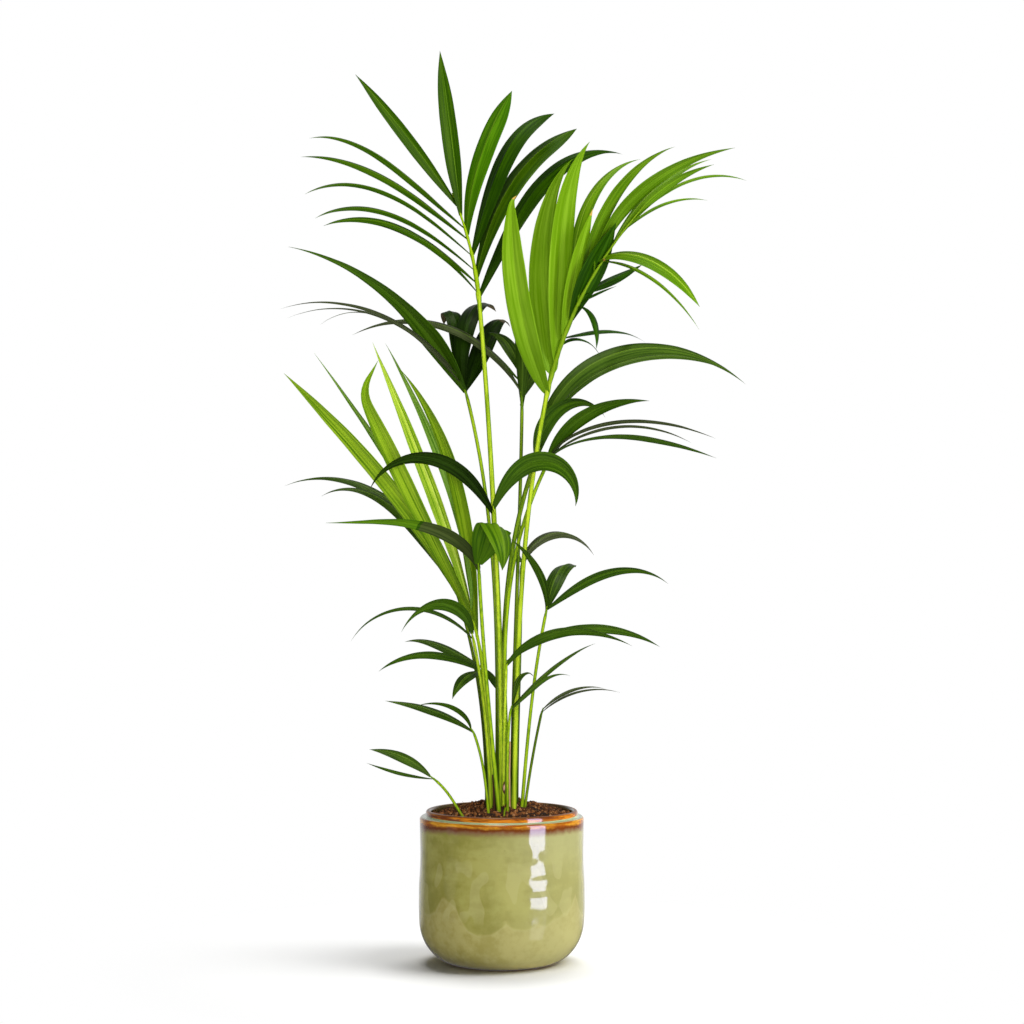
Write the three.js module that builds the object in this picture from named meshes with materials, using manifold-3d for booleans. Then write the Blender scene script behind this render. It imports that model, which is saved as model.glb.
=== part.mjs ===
// A kentia palm in its glazed pot, built as it grows: a clump of thin stalks that
// rise out of the soil, each ending in a frond of drooping leaflets.
// Millimetres, +Z up. The origin is the middle of the pot's flat underside.
import * as THREE from 'three';
import { mergeVertices } from 'three/addons/utils/BufferGeometryUtils.js';
import Module from 'manifold-3d';

const wasm = await Module();
wasm.setup();

// Driving sizes

const gap = 0.3; // clearance between neighbouring pieces
const pot = {
  footRadius: 62,
  cornerHeight: 60, // top of the round corner between foot and belly
  bellyRadius: 110,
  bellyHeight: 95,
  waistRadius: 108,
  waistHeight: 150,
  shoulderRadius: 109,
  shoulderHeight: 194,
  ringRadius: 101, // of the neck ring that stands on the shoulder
  rimHeight: 202,
  mouthRadius: 94,
  neckHeight: 190, // where the inner wall is as narrow as the mouth
  chestHeight: 174, // where the inner wall begins to narrow
  wall: 9,
  lip: 2, // rounding of its edges
  cornerSteps: 6,
  sides: 36,
};
const soil = {
  edge: 189,
  rise: 17, // height of the mound
  moundX: 5,
  moundY: 35,
  spread: 55,
  crumb: 1, // height of its lumps
  socket: 8, // depth at which a stalk stands
  settle: 2, // clearance under the inner neck
  rings: 5,
};
const leaf = {
  thickness: 0.012, // share of the leaflet's length
  baseWidth: 0.2, // share of its full width
  widest: 0.45, // place of the full width, from its base
  tipWidth: 0.05, // the least share of its full width, at its tip
  tipBody: 0.3, // the least share of its full thickness, at both ends
  keel: 0.16, // how far its edges hang below the midrib, as a share of its width
  rings: 9,
};
const sharpBend = 0.12; // share of a leaflet that a fold takes
const stalkRings = 10;
const ribRings = 6;
const ribTipGirth = 1.6;
const roundSides = 6;

// Finishes

const finish = (color, roughness) => new THREE.MeshStandardMaterial({ color, roughness, metalness: 0 });
const paint = {
  glaze: () => finish('#a3ab70', 0.15),
  soil: () => finish('#3a2a1f', 0.95),
  dark: () => finish('#2f5a1c', 0.4),
  mid: () => finish('#3d7420', 0.4),
  bright: () => finish('#7fae2f', 0.4),
  stalk: () => finish('#8fb53a', 0.45),
  husk: () => finish('#6b4a2c', 0.8),
};

// The fronds
// A stalk goes from its foot [x, y] to its tip [x, y, z]. Its lean is the way in x and y
// for each unit of height, at the foot and at the tip, and its girth tapers likewise.
// A frond's rib goes on from there to its own tip, and its leaflets come in rows. Every
// value of a row is one number, or a list spread evenly from the first leaflet to the last:
//   place    along the rib, 0 at the stalk and 1 at its tip
//   bearing  degrees round +Z, 0 towards +X and 270 towards the front, -Y
//   rise     degrees above level at the base, and droop is the whole bend from there
//   late     1 bends evenly, more bends near the tip and less near the base
//   roll     0 faces up and 90 faces the front
//   fold     [place, degrees] of a sharp bend, and lift turns the tip up again

const fronds = {
  top: {
    tone: 'mid',
    stalk: { foot: [4, -2], tip: [-30, 20, 878], lean: [[-0.03, 0], [-0.09, 0.06]], girth: [12, 5] },
    rib: [-67, 45, 1028],
    rows: [
      {
        count: 7, place: [0.08, 0.17, 0.28, 0.41, 0.56, 0.66, 0.88],
        length: [185, 250, 255, 265, 260, 250, 220], bearing: [214, 195],
        rise: [47, 37, 37, 39, 37, 40, 53], droop: [43, 61, 68, 71, 44, 55, 8],
        late: [1.2, 1.8, 1.9, 2.1, 2.1, 3.3, 2.3],
        width: [18, 21, 22], roll: [42, 48, 34, 30, 40, 36, 66],
      },
      {
        count: 4, place: [0.05, 0.22, 0.42, 0.6], length: [345, 275, 245, 210], bearing: [35, 20],
        rise: [62, 77, 73, 92], droop: [75, 55, 66, 34], late: [2.5, 1.3, 3.3, 0.7],
        width: 26, roll: [26, 24, 22, 36],
      },
      {
        count: 1, place: 0.78, length: 225, bearing: 165, rise: 83, droop: 1, late: 1,
        width: 24, roll: 44,
      },
    ],
  },
  crown: {
    tone: 'bright',
    stalk: { foot: [16, -24], tip: [58, -45, 745], lean: [[0.02, 0], [0.2, -0.06]], girth: [7, 5] },
    rib: [185, -100, 994],
    rows: [
      {
        count: 1, place: 0.03, length: 265, bearing: 230, rise: 54, droop: -39, late: 0.9,
        width: 31, roll: -18,
      },
      {
        count: 3, place: [0.12, 0.18, 0.29], length: [310, 300, 175], bearing: [300, 310],
        rise: [105, 87, 76], droop: [87, 59, 17], late: [2.3, 3.8, 2.1], width: [26, 28, 24], roll: -5,
      },
      {
        count: 1, place: 0.37, length: 260, bearing: 20, rise: 88, droop: 79, late: 2.4,
        width: 22, roll: 26,
      },
      {
        count: 3, place: [0.46, 0.62, 0.83], length: [265, 270, 155], bearing: [320, 340],
        rise: [78, 93, 55], droop: [72, 90, 46], late: [1.6, 0.6, 1.2],
        width: [22, 22, 16], roll: [-8, -24, -26],
      },
      {
        count: 3, place: [0.75, 0.85, 0.9], length: [195, 125, 170], bearing: [20, 0],
        rise: [61, 44, 46], droop: [47, 57, 69], late: [1.3, 1.4, 1.6],
        width: [16, 12, 12], roll: [26, 20, 26],
      },
      {
        count: 1, place: 0.38, length: 140, bearing: 20, rise: 72, droop: 18, late: 0.4,
        width: 22, roll: 40,
      },
      {
        count: 1, place: 0.62, length: 185, bearing: 335, rise: 137, droop: 180, late: 0.3,
        fold: [0.12, 19], width: 20, roll: 36,
      },
      {
        count: 3, place: [0.29, 0.51, 0.68], length: [180, 125, 170], bearing: [50, 45, 20],
        rise: [12, 22, 11], droop: [33, 0, 68], late: [2.1, 1, 0.6],
        width: [14, 16, 12], roll: [12, 18, 40],
      },
      {
        count: 1, place: 0.44, length: 75, bearing: 330, rise: 88, droop: 192, late: 0.3,
        width: 14, roll: 6,
      },
    ],
  },
  back: {
    tone: 'dark',
    stalk: { foot: [14, 26], tip: [27, 36, 731], lean: [[0, 0], [0.015, 0.02]], girth: [6, 4] },
    rib: [24, 44, 787],
    rows: [
      {
        count: 1, place: 0.5, length: 270, bearing: 176, rise: 62, droop: 91, late: 1.1,
        width: 18, roll: 25,
      },
      {
        count: 1, place: 0.75, length: 100, bearing: 160, rise: 49, droop: 19, late: 1.6,
        width: 16, roll: 8,
      },
      {
        count: 1, place: 1, length: 85, bearing: 140, rise: 73, droop: 72, late: 1.5,
        width: 20, roll: 32,
      },
      {
        count: 1, place: 0.2, length: 190, bearing: 100, rise: 94, droop: 70, late: 2.5,
        width: 24, roll: 35,
      },
      {
        count: 1, place: 0.35, length: 130, bearing: 65, rise: 46, droop: 30, late: 2,
        width: 18, roll: 20,
      },
    ],
  },
  right: {
    tone: 'dark',
    stalk: { foot: [7, 14], tip: [43, 8, 661], lean: [[-0.03, 0], [0.35, -0.02]], girth: [7, 5] },
    rib: [52, 8, 685],
    rows: [
      {
        count: 1, place: 0.9, length: 380, bearing: 18, rise: 93, droop: 132, late: 0.75,
        width: 26, roll: 50,
      },
      {
        count: 1, place: 0.7, length: 315, bearing: 10, rise: 79, droop: 103, late: 0.9,
        width: 16, roll: 22,
      },
      {
        count: 1, place: 0.3, length: 155, bearing: 335, rise: 85, droop: 139, late: 1.5,
        width: 28, roll: -38,
      },
    ],
  },
  reach: {
    tone: 'dark',
    stalk: { foot: [11, -12], tip: [57, -28, 655], lean: [[-0.03, 0], [0.48, -0.05]], girth: [6, 4] },
    rib: [66, -33, 676],
    rows: [
      {
        count: 1, place: 0.3, length: 185, bearing: 330, rise: 78, droop: 85, late: 0.7,
        width: 24, roll: -32,
      },
      {
        count: 3, place: [0.9, 0.8, 0.6], length: [240, 200, 265], bearing: [340, 350, 325],
        rise: [63, 43, 69], droop: [87, 74, 90], late: [0.5, 0.95, 0.3],
        width: [16, 14, 14], roll: [-24, -18, -26],
      },
    ],
  },
  left: {
    tone: 'dark',
    stalk: { foot: [-6, 14], tip: [-46, 54, 749], lean: [[0, 0.02], [-0.25, 0.1]], girth: [6, 4] },
    rib: [-54, 60, 776],
    rows: [
      {
        count: 1, place: 0.4, length: 320, bearing: 196, rise: 62, droop: 53, late: 1.2,
        width: 28, roll: -46,
      },
      {
        count: 3, place: [1, 0.85, 0.7], length: [290, 295, 265], bearing: [203, 218],
        rise: [46, 47, 40], droop: [62, 67, 69], late: [1.3, 1.2, 2],
        width: [16, 14, 14], roll: [-12, -6, 0],
      },
      {
        count: 3, place: [0.9, 0.7, 0.5], length: [120, 210, 170], bearing: [120, 68, 60],
        rise: [50, 122, 54], droop: [-68, 148, 106], late: [3.6, 0.9, 4.9],
        width: [20, 24, 26], roll: [20, 2, 18],
      },
    ],
  },
  middle: {
    tone: 'dark',
    stalk: { foot: [-1, -16], tip: [-10, -70, 588], lean: [[0, -0.05], [-0.06, -0.2]], girth: [6, 4] },
    rib: [-11, -74, 606],
    rows: [
      {
        count: 1, place: 0.4, length: 220, bearing: 200, rise: 61, droop: 132, late: 1.5,
        width: 27, roll: -46,
      },
      {
        count: 1, place: 0.8, length: 190, bearing: 330, rise: 64, droop: 173, late: 1.6,
        width: 30, roll: -48,
      },
    ],
  },
  front: {
    tone: 'dark',
    stalk: { foot: [-2, -38], tip: [-29, -80, 516], lean: [[-0.1, -0.02], [-0.05, -0.15]], girth: [6, 4] },
    rib: [-30, -83, 532],
    rows: [
      {
        count: 1, place: 0.3, length: 255, bearing: 215, rise: 109, droop: 128, late: 0.32, lift: 20,
        width: 24, roll: -44,
      },
      {
        count: 1, place: 0.9, length: 140, bearing: 300, rise: 55, droop: 97, late: 2.9,
        fold: [0.5, 84], width: 34, roll: -6,
      },
    ],
  },
  fan: {
    tone: 'bright',
    stalk: { foot: [-10, -8], tip: [-23, -22, 377], lean: [[-0.03, -0.02], [-0.1, -0.08]], girth: [8, 6] },
    rib: [-42, -34, 470],
    rows: [
      {
        count: 4, place: [0.6, 0.7, 0.9, 1], length: [375, 425, 385, 410],
        bearing: [208, 196, 175, 160],
        rise: [86, 79, 83, 76], droop: [40, 37, 17, 25], late: [1.9, 0.4, 0.3, 0.3],
        width: [22, 26, 20, 16], roll: [-16, -40, 40, 24],
      },
      {
        count: 1, place: 0.8, length: 390, bearing: 215, rise: 60, droop: 0, late: 1, fold: [0.88, -60],
        width: 20, roll: -18,
      },
      {
        count: 1, place: 0.95, length: 390, bearing: 150, rise: 115, droop: 59, late: 0.3,
        width: 18, roll: 10,
      },
    ],
  },
  low_left: {
    tone: 'dark',
    stalk: { foot: [-14, -24], tip: [-36, -50, 426], lean: [[-0.03, 0], [-0.2, -0.1]], girth: [5, 3.5] },
    rib: [-39, -52, 440],
    rows: [
      {
        count: 1, place: 0.9, length: 145, bearing: 215, rise: 87, droop: 151, late: 0.8,
        width: 22, roll: -44,
      },
      {
        count: 1, place: 0.4, length: 190, bearing: 190, rise: 49, droop: 110, late: 1.2,
        width: 18, roll: -18,
      },
    ],
  },
  back_left: {
    tone: 'dark',
    stalk: { foot: [-20, 16], tip: [-62, 60, 492], lean: [[0, 0.05], [-0.33, 0.1]], girth: [5, 3.5] },
    rib: [-70, 63, 512],
    rows: [
      {
        count: 1, place: 0.9, length: 305, bearing: 160, rise: 59, droop: 82, late: 1.5,
        width: 20, roll: 24,
      },
      {
        count: 1, place: 0.4, length: 240, bearing: 175, rise: 55, droop: 91, late: 3,
        width: 20, roll: 32,
      },
    ],
  },
  low_back: {
    tone: 'dark',
    stalk: { foot: [-12, 4], tip: [-24, 20, 377], lean: [[-0.02, 0.02], [-0.12, 0.05]], girth: [5, 3.5] },
    rib: [-26, 21, 391],
    rows: [
      {
        count: 2, place: [0.9, 0.5], length: [115, 150], bearing: [170, 185],
        rise: [28, 31], droop: [49, 72], late: [3.5, 1.35], width: 18, roll: [30, -38],
      },
      {
        count: 2, place: [0.6, 0.8], length: [90, 45], bearing: [240, 40],
        rise: [0, 20], droop: [62, 91], late: [1.7, 0.3], width: [18, 14], roll: [18, -12],
      },
    ],
  },
  low_front: {
    tone: 'dark',
    stalk: { foot: [-16, -36], tip: [-35, -44, 304], lean: [[-0.1, 0], [-0.35, -0.05]], girth: [4, 3] },
    rib: [-41, -46, 315],
    rows: [
      {
        count: 2, place: [0.4, 0.9], length: [125, 95], bearing: [176, 205],
        rise: [43, 90], droop: [38, 108], late: 0.6, width: 16, roll: [32, -16],
      },
    ],
  },
  edge: {
    tone: 'dark',
    stalk: { foot: [-42, -42], tip: [-83, -55, 244], lean: [[-0.85, -0.2], [-1.05, -0.2]], girth: [4, 3] },
    rib: [-94, -57, 253],
    rows: [
      {
        count: 2, place: [0.9, 0.5], length: [90, 95], bearing: [175, 200],
        rise: [48, 10], droop: [47, -9], late: 0.9, width: [18, 14], roll: [38, -20],
      },
    ],
  },
  right_low: {
    tone: 'dark',
    stalk: { foot: [26, -14], tip: [57, -50, 460], lean: [[0.08, -0.02], [0.2, -0.12]], girth: [5, 3.5] },
    rib: [60, -52, 475],
    rows: [
      {
        count: 1, place: 0.5, length: 120, bearing: 215, rise: 113, droop: 86, late: 0.6,
        width: 20, roll: 0,
      },
      {
        count: 1, place: 0.9, length: 105, bearing: 60, rise: 66, droop: 97, late: 1.9,
        width: 20, roll: 0,
      },
      {
        count: 1, place: 0.7, length: 185, bearing: 340, rise: 38, droop: 80, late: 2,
        width: 18, roll: -16,
      },
    ],
  },
  front_right: {
    tone: 'dark',
    stalk: { foot: [2, -27], tip: [6, -78, 392], lean: [[0, -0.05], [0.03, -0.2]], girth: [5, 3.5] },
    rib: [8, -81, 406],
    rows: [
      {
        count: 2, place: [0.5, 0.9], length: [210, 215], bearing: [325, 350],
        rise: [53, 41], droop: [79, 74], late: [0.8, 1.1], width: 20, roll: [-24, -20],
      },
    ],
  },
  small_right: {
    tone: 'dark',
    stalk: { foot: [8, -38], tip: [11, -62, 333], lean: [[0, -0.02], [0.1, -0.12]], girth: [4, 3] },
    rib: [14, -64, 346],
    rows: [
      {
        count: 3, place: [0.8, 0.5, 0.9], length: [140, 100, 65], bearing: [12, 340, 60],
        rise: [45, 46, 26], droop: [27, 69, -130], late: [2, 3, 3.7],
        width: [16, 18, 14], roll: [20, -20, 4],
      },
    ],
  },
  low_right: {
    tone: 'dark',
    stalk: { foot: [30, 2], tip: [52, 20, 324], lean: [[0.12, 0.02], [0.22, 0.05]], girth: [4, 3] },
    rib: [56, 21, 336],
    rows: [
      {
        count: 2, place: [0.9, 0.5], length: [110, 115], bearing: [32, 348],
        rise: [23, 38], droop: [26, 50], late: [1.9, 1.1], width: 16, roll: [12, -18],
      },
    ],
  },
  back_right: {
    tone: 'dark',
    stalk: { foot: [20, 12], tip: [26, 60, 516], lean: [[0, 0.05], [0, 0.1]], girth: [5, 3.5] },
    rib: [27, 62, 532],
    rows: [
      {
        count: 1, place: 0.5, length: 150, bearing: 32, rise: 72, droop: 131, late: 1,
        width: 22, roll: 22,
      },
      {
        count: 1, place: 0.9, length: 80, bearing: 125, rise: 33, droop: 20, late: 1.8,
        width: 20, roll: 6,
      },
    ],
  },
};

// Dead sheaths of old stalks, and the bud of a new one, told like a stalk
const husks = {
  husk_right: { foot: [10, -31], tip: [11, -34, 296], lean: [[0, 0], [0.02, -0.05]], girth: [6, 2] },
  husk_left: { foot: [-9, -33], tip: [-12, -34, 252], lean: [[-0.02, 0], [-0.1, 0]], girth: [7, 2] },
  bud: { foot: [3, -46], tip: [5, -48, 210], lean: [[0, 0], [0.3, -0.1]], girth: [6, 2] },
};

// Shapes

const radians = THREE.MathUtils.degToRad;
const lerp = THREE.MathUtils.lerp;

// the value at a share of the way along a number or an evenly spread list
function spread(values, share) {
  if (!Array.isArray(values)) return values;
  const place = share * (values.length - 1);
  const first = Math.min(Math.floor(place), values.length - 2);
  return lerp(values[first], values[first + 1], place - first);
}

// a closed solid through rings of points that all have the same count and sense
function loft(rings) {
  const sides = rings[0].length;
  const last = (rings.length - 1) * sides;
  const index = [];
  for (let ring = 0; ring < last; ring += sides) {
    for (let side = 0; side < sides; side += 1) {
      const next = (side + 1) % sides;
      index.push(ring + side, ring + next, ring + sides + next);
      index.push(ring + side, ring + sides + next, ring + sides + side);
    }
  }
  for (let side = 1; side < sides - 1; side += 1) {
    index.push(0, side + 1, side);
    index.push(last, last + side, last + side + 1);
  }
  return new THREE.BufferGeometry().setFromPoints(rings.flat()).setIndex(index);
}

function roundTube(curve, rings, girthAt, extra = 0) {
  return loft(Array.from({ length: rings }, (_, ring) => {
    const share = ring / (rings - 1);
    const centre = curve.getPointAt(share);
    const along = curve.getTangentAt(share);
    const across = new THREE.Vector3(0, 1, 0).cross(along).normalize();
    const forward = along.clone().cross(across);
    const radius = girthAt(share) / 2 + extra;
    return Array.from({ length: roundSides }, (_, side) => {
      const turn = (2 * Math.PI * side) / roundSides;
      return centre.clone()
        .addScaledVector(across, radius * Math.cos(turn))
        .addScaledVector(forward, radius * Math.sin(turn));
    });
  }));
}

// the soil's surface is a mound with low waves about 30 mm long
function soilHeight(x, y) {
  const away = Math.hypot(x - soil.moundX, y - soil.moundY) / soil.spread;
  const lumps = soil.crumb * Math.sin(x / 6 + 1) * Math.cos(y / 5);
  return soil.edge + soil.rise * Math.exp(-0.5 * away * away) + lumps;
}

function stalkCurve({ foot, tip, lean }) {
  const start = new THREE.Vector3(foot[0], foot[1], soilHeight(...foot) - soil.socket);
  const end = new THREE.Vector3(...tip);
  const third = (end.z - start.z) / 3;
  const handle = ([x, y]) => new THREE.Vector3(x * third, y * third, third);
  const rising = start.clone().add(handle(lean[0]));
  const arriving = end.clone().sub(handle(lean[1]));
  return new THREE.CubicBezierCurve3(start, rising, arriving, end);
}

// the girth eases from a thick foot to a slender tip
const stalkGirth = ([foot, tip]) => (share) => tip + (foot - tip) * (1 - share) ** 2;

function ribCurve(frond) {
  const along = stalkCurve(frond.stalk).getTangentAt(1);
  const start = new THREE.Vector3(...frond.stalk.tip).addScaledVector(along, gap);
  const end = new THREE.Vector3(...frond.rib);
  const bend = start.clone().addScaledVector(along, start.distanceTo(end) / 2);
  return new THREE.QuadraticBezierCurve3(start, bend, end);
}

const leafWidth = (share) => (share < leaf.widest
  ? lerp(leaf.baseWidth, 1, Math.sin((Math.PI / 2) * (share / leaf.widest)))
  : Math.cos((Math.PI / 2) * ((share - leaf.widest) / (1 - leaf.widest))));

// degrees above level at a share of a leaflet's length
function leafSlope({ rise, droop, late, fold = [0, 0], lift = 0 }, share) {
  const folded = THREE.MathUtils.smoothstep(share, fold[0] - sharpBend / 2, fold[0] + sharpBend / 2);
  return rise - droop * share ** late - fold[1] * folded + lift * share ** 4;
}

function leafHeading(spec, share) {
  const slope = radians(leafSlope(spec, share));
  const bearing = radians(spec.bearing);
  const level = new THREE.Vector3(Math.cos(bearing), Math.sin(bearing), 0);
  return level.multiplyScalar(Math.cos(slope)).setZ(Math.sin(slope));
}

// a thin blade of four-cornered sections: two edges, a raised midrib and an underside
function leaflet(base, spec) {
  const bearing = radians(spec.bearing);
  const level = new THREE.Vector3(-Math.sin(bearing), Math.cos(bearing), 0);
  const roll = radians(spec.roll) * (Math.cos(bearing) < 0 ? -1 : 1);
  const stride = 1 / (leaf.rings - 1);
  const point = base.clone();
  return loft(Array.from({ length: leaf.rings }, (_, ring) => {
    const share = ring * stride;
    const heading = leafHeading(spec, share);
    const across = level.clone().applyAxisAngle(heading, roll);
    const face = heading.clone().cross(across);
    const half = (spec.width / 2) * Math.max(leafWidth(share), leaf.tipWidth);
    const body = (spec.length * leaf.thickness / 2) * Math.max(leafWidth(share), leaf.tipBody);
    const lip = -2 * half * leaf.keel;
    const corner = (out, high) => point.clone().addScaledVector(across, out).addScaledVector(face, high);
    const section = [corner(half, lip), corner(0, body), corner(-half, lip), corner(0, -body)];
    point.addScaledVector(leafHeading(spec, share + stride / 2), spec.length * stride);
    return section;
  }));
}

// Fusing and cutting

function solid(geometry) {
  const bare = geometry.clone();
  bare.deleteAttribute('normal');
  bare.deleteAttribute('uv');
  const merged = mergeVertices(bare, 0.001);
  return new wasm.Manifold(new wasm.Mesh({
    numProp: 3,
    vertProperties: new Float32Array(merged.attributes.position.array),
    triVerts: new Uint32Array(merged.index.array),
  }));
}

function surface(body) {
  const { numProp, vertProperties, triVerts } = body.getMesh();
  const geometry = new THREE.BufferGeometry();
  const corners = new THREE.InterleavedBuffer(vertProperties, numProp);
  geometry.setAttribute('position', new THREE.InterleavedBufferAttribute(corners, 3, 0));
  return geometry.setIndex(new THREE.BufferAttribute(triVerts, 1));
}

const fuse = (geometries) => surface(geometries.map(solid).reduce((whole, next) => whole.add(next)));

// The pieces

const plant = new THREE.Group();
plant.name = 'kentia_palm';

function add(name, geometry, material) {
  const mesh = new THREE.Mesh(geometry, material);
  mesh.name = name;
  plant.add(mesh);
}

function frondGeometry(frond) {
  const rib = ribCurve(frond);
  const girth = frond.stalk.girth[1];
  const leaflets = frond.rows.flatMap((row) => Array.from({ length: row.count }, (_, index) => {
    const share = row.count > 1 ? index / (row.count - 1) : 0;
    const keyed = Object.entries(row).filter(([key]) => key !== 'count' && key !== 'fold');
    const spec = Object.fromEntries(keyed.map(([key, values]) => [key, spread(values, share)]));
    return leaflet(rib.getPointAt(spec.place), { ...spec, fold: row.fold });
  }));
  return fuse([roundTube(rib, ribRings, (share) => lerp(girth, ribTipGirth, share)), ...leaflets]);
}

// the round corner of a cup, from the edge of its foot up to its side
function cupCorner(foot, side, floor) {
  return Array.from({ length: pot.cornerSteps + 1 }, (_, step) => {
    const turn = (step / pot.cornerSteps) * (Math.PI / 2);
    const height = (pot.cornerHeight - floor) * (1 - Math.cos(turn));
    return [foot + (side - foot) * Math.sin(turn), floor + height];
  });
}

// from the axis over the foot, belly, shoulder, rim and inner wall back to the axis
function potProfile() {
  const { lip, wall } = pot;
  const inside = pot.bellyRadius - wall;
  return [
    [0, 0],
    ...cupCorner(pot.footRadius, pot.bellyRadius, 0),
    [pot.bellyRadius, pot.bellyHeight],
    [pot.waistRadius, pot.waistHeight],
    [pot.shoulderRadius, pot.shoulderHeight - lip],
    [pot.shoulderRadius - lip, pot.shoulderHeight],
    [pot.ringRadius, pot.shoulderHeight],
    [pot.ringRadius, pot.rimHeight - lip],
    [pot.ringRadius - lip, pot.rimHeight],
    [pot.mouthRadius + lip, pot.rimHeight],
    [pot.mouthRadius, pot.rimHeight - lip],
    [pot.mouthRadius, pot.neckHeight],
    [inside, pot.chestHeight],
    ...cupCorner(pot.footRadius - wall / 2, inside, wall).reverse(),
    [0, wall],
  ];
}

// a lathe turned about +Z from a profile that starts and ends on the axis
function turned(profile) {
  const geometry = new THREE.LatheGeometry(profile.map(([r, z]) => new THREE.Vector2(r, z)), pot.sides);
  return geometry.rotateX(Math.PI / 2);
}

// soil that fills the pot, mounded round the clump, with a socket for each stalk
function soilGeometry(stems) {
  const slack = gap * 2;
  const floor = pot.wall + gap;
  const side = pot.bellyRadius - pot.wall - slack;
  const neck = pot.mouthRadius - slack;
  const top = Array.from({ length: soil.rings }, (_, ring) => (
    [neck * (1 - ring / (soil.rings - 1)), soil.edge]));
  const geometry = turned([
    [0, floor],
    ...cupCorner(pot.footRadius - pot.wall, side, floor),
    [side, pot.chestHeight - soil.settle],
    [neck, pot.neckHeight - soil.settle],
    ...top,
  ]);
  const place = geometry.attributes.position;
  for (let index = 0; index < place.count; index += 1) {
    if (Math.abs(place.getZ(index) - soil.edge) < gap) {
      place.setZ(index, soilHeight(place.getX(index), place.getY(index)));
    }
  }
  return surface(stems.reduce((whole, { curve, girthAt }) => (
    whole.subtract(solid(roundTube(curve, stalkRings, girthAt, gap * 1.2)))), solid(geometry)));
}

const stem = (name, stalk, material) => (
  { name, material, curve: stalkCurve(stalk), girthAt: stalkGirth(stalk.girth) });
const stems = [
  ...Object.entries(fronds).map(([name, { stalk }]) => stem(`stalk_${name}`, stalk, paint.stalk())),
  ...Object.entries(husks).map(([name, stalk]) => stem(name, stalk, paint.husk())),
];

add('pot', turned(potProfile()), paint.glaze());
add('soil', soilGeometry(stems), paint.soil());
stems.forEach(({ name, material, curve, girthAt }) => {
  add(name, roundTube(curve, stalkRings, girthAt), material);
});
Object.entries(fronds).forEach(([name, frond]) => {
  add(`frond_${name}`, frondGeometry(frond), paint[frond.tone]());
});

export default plant;
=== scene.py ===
# A kentia palm in a glazed pot: finer leaflets, stalks, soil and glaze round the fixed frame.
# Sizes in the dictionaries are millimetres and degrees, and the scene itself is in metres.
import itertools
import math
import random

import bpy
import numpy as np
from mathutils import Matrix, Vector, noise


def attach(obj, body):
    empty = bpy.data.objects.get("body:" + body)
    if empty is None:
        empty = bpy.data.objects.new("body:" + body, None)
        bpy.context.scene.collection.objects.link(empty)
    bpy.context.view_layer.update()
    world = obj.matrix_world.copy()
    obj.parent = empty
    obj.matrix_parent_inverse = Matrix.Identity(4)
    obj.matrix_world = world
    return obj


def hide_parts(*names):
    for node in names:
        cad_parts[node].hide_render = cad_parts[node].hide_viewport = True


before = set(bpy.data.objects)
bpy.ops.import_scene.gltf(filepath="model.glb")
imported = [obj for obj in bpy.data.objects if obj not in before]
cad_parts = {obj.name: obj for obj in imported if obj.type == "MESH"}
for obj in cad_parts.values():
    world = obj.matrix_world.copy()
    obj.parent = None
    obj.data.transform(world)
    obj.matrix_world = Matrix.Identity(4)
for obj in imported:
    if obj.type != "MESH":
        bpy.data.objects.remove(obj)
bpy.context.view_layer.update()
mm = 0.001


# Nodes written as expressions

# the output of a node, which arithmetic joins to Math nodes
class Signal:
    def __init__(self, tree, socket):
        self.tree = tree
        self.socket = socket

    def math(self, operation, *values):
        return self.tree.node("ShaderNodeMath", {"operation": operation}, dict(enumerate(values)))

    def __add__(self, other):
        return self.math("ADD", self, other)

    def __sub__(self, other):
        return self.math("SUBTRACT", self, other)

    def __rsub__(self, other):
        return self.math("SUBTRACT", other, self)

    def __mul__(self, other):
        return self.math("MULTIPLY", self, other)

    def __gt__(self, other):
        return self.math("GREATER_THAN", self, other)

    def __lt__(self, other):
        return self.math("LESS_THAN", self, other)

    def __abs__(self):
        return self.math("ABSOLUTE", self)

    __radd__ = __add__
    __rmul__ = __mul__


# the socket with a name, or with a number, among those in use
def pick(sockets, key):
    shown = [socket for socket in sockets if socket.enabled]
    return shown[key] if isinstance(key, int) else next(s for s in shown if s.name == key)


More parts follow.
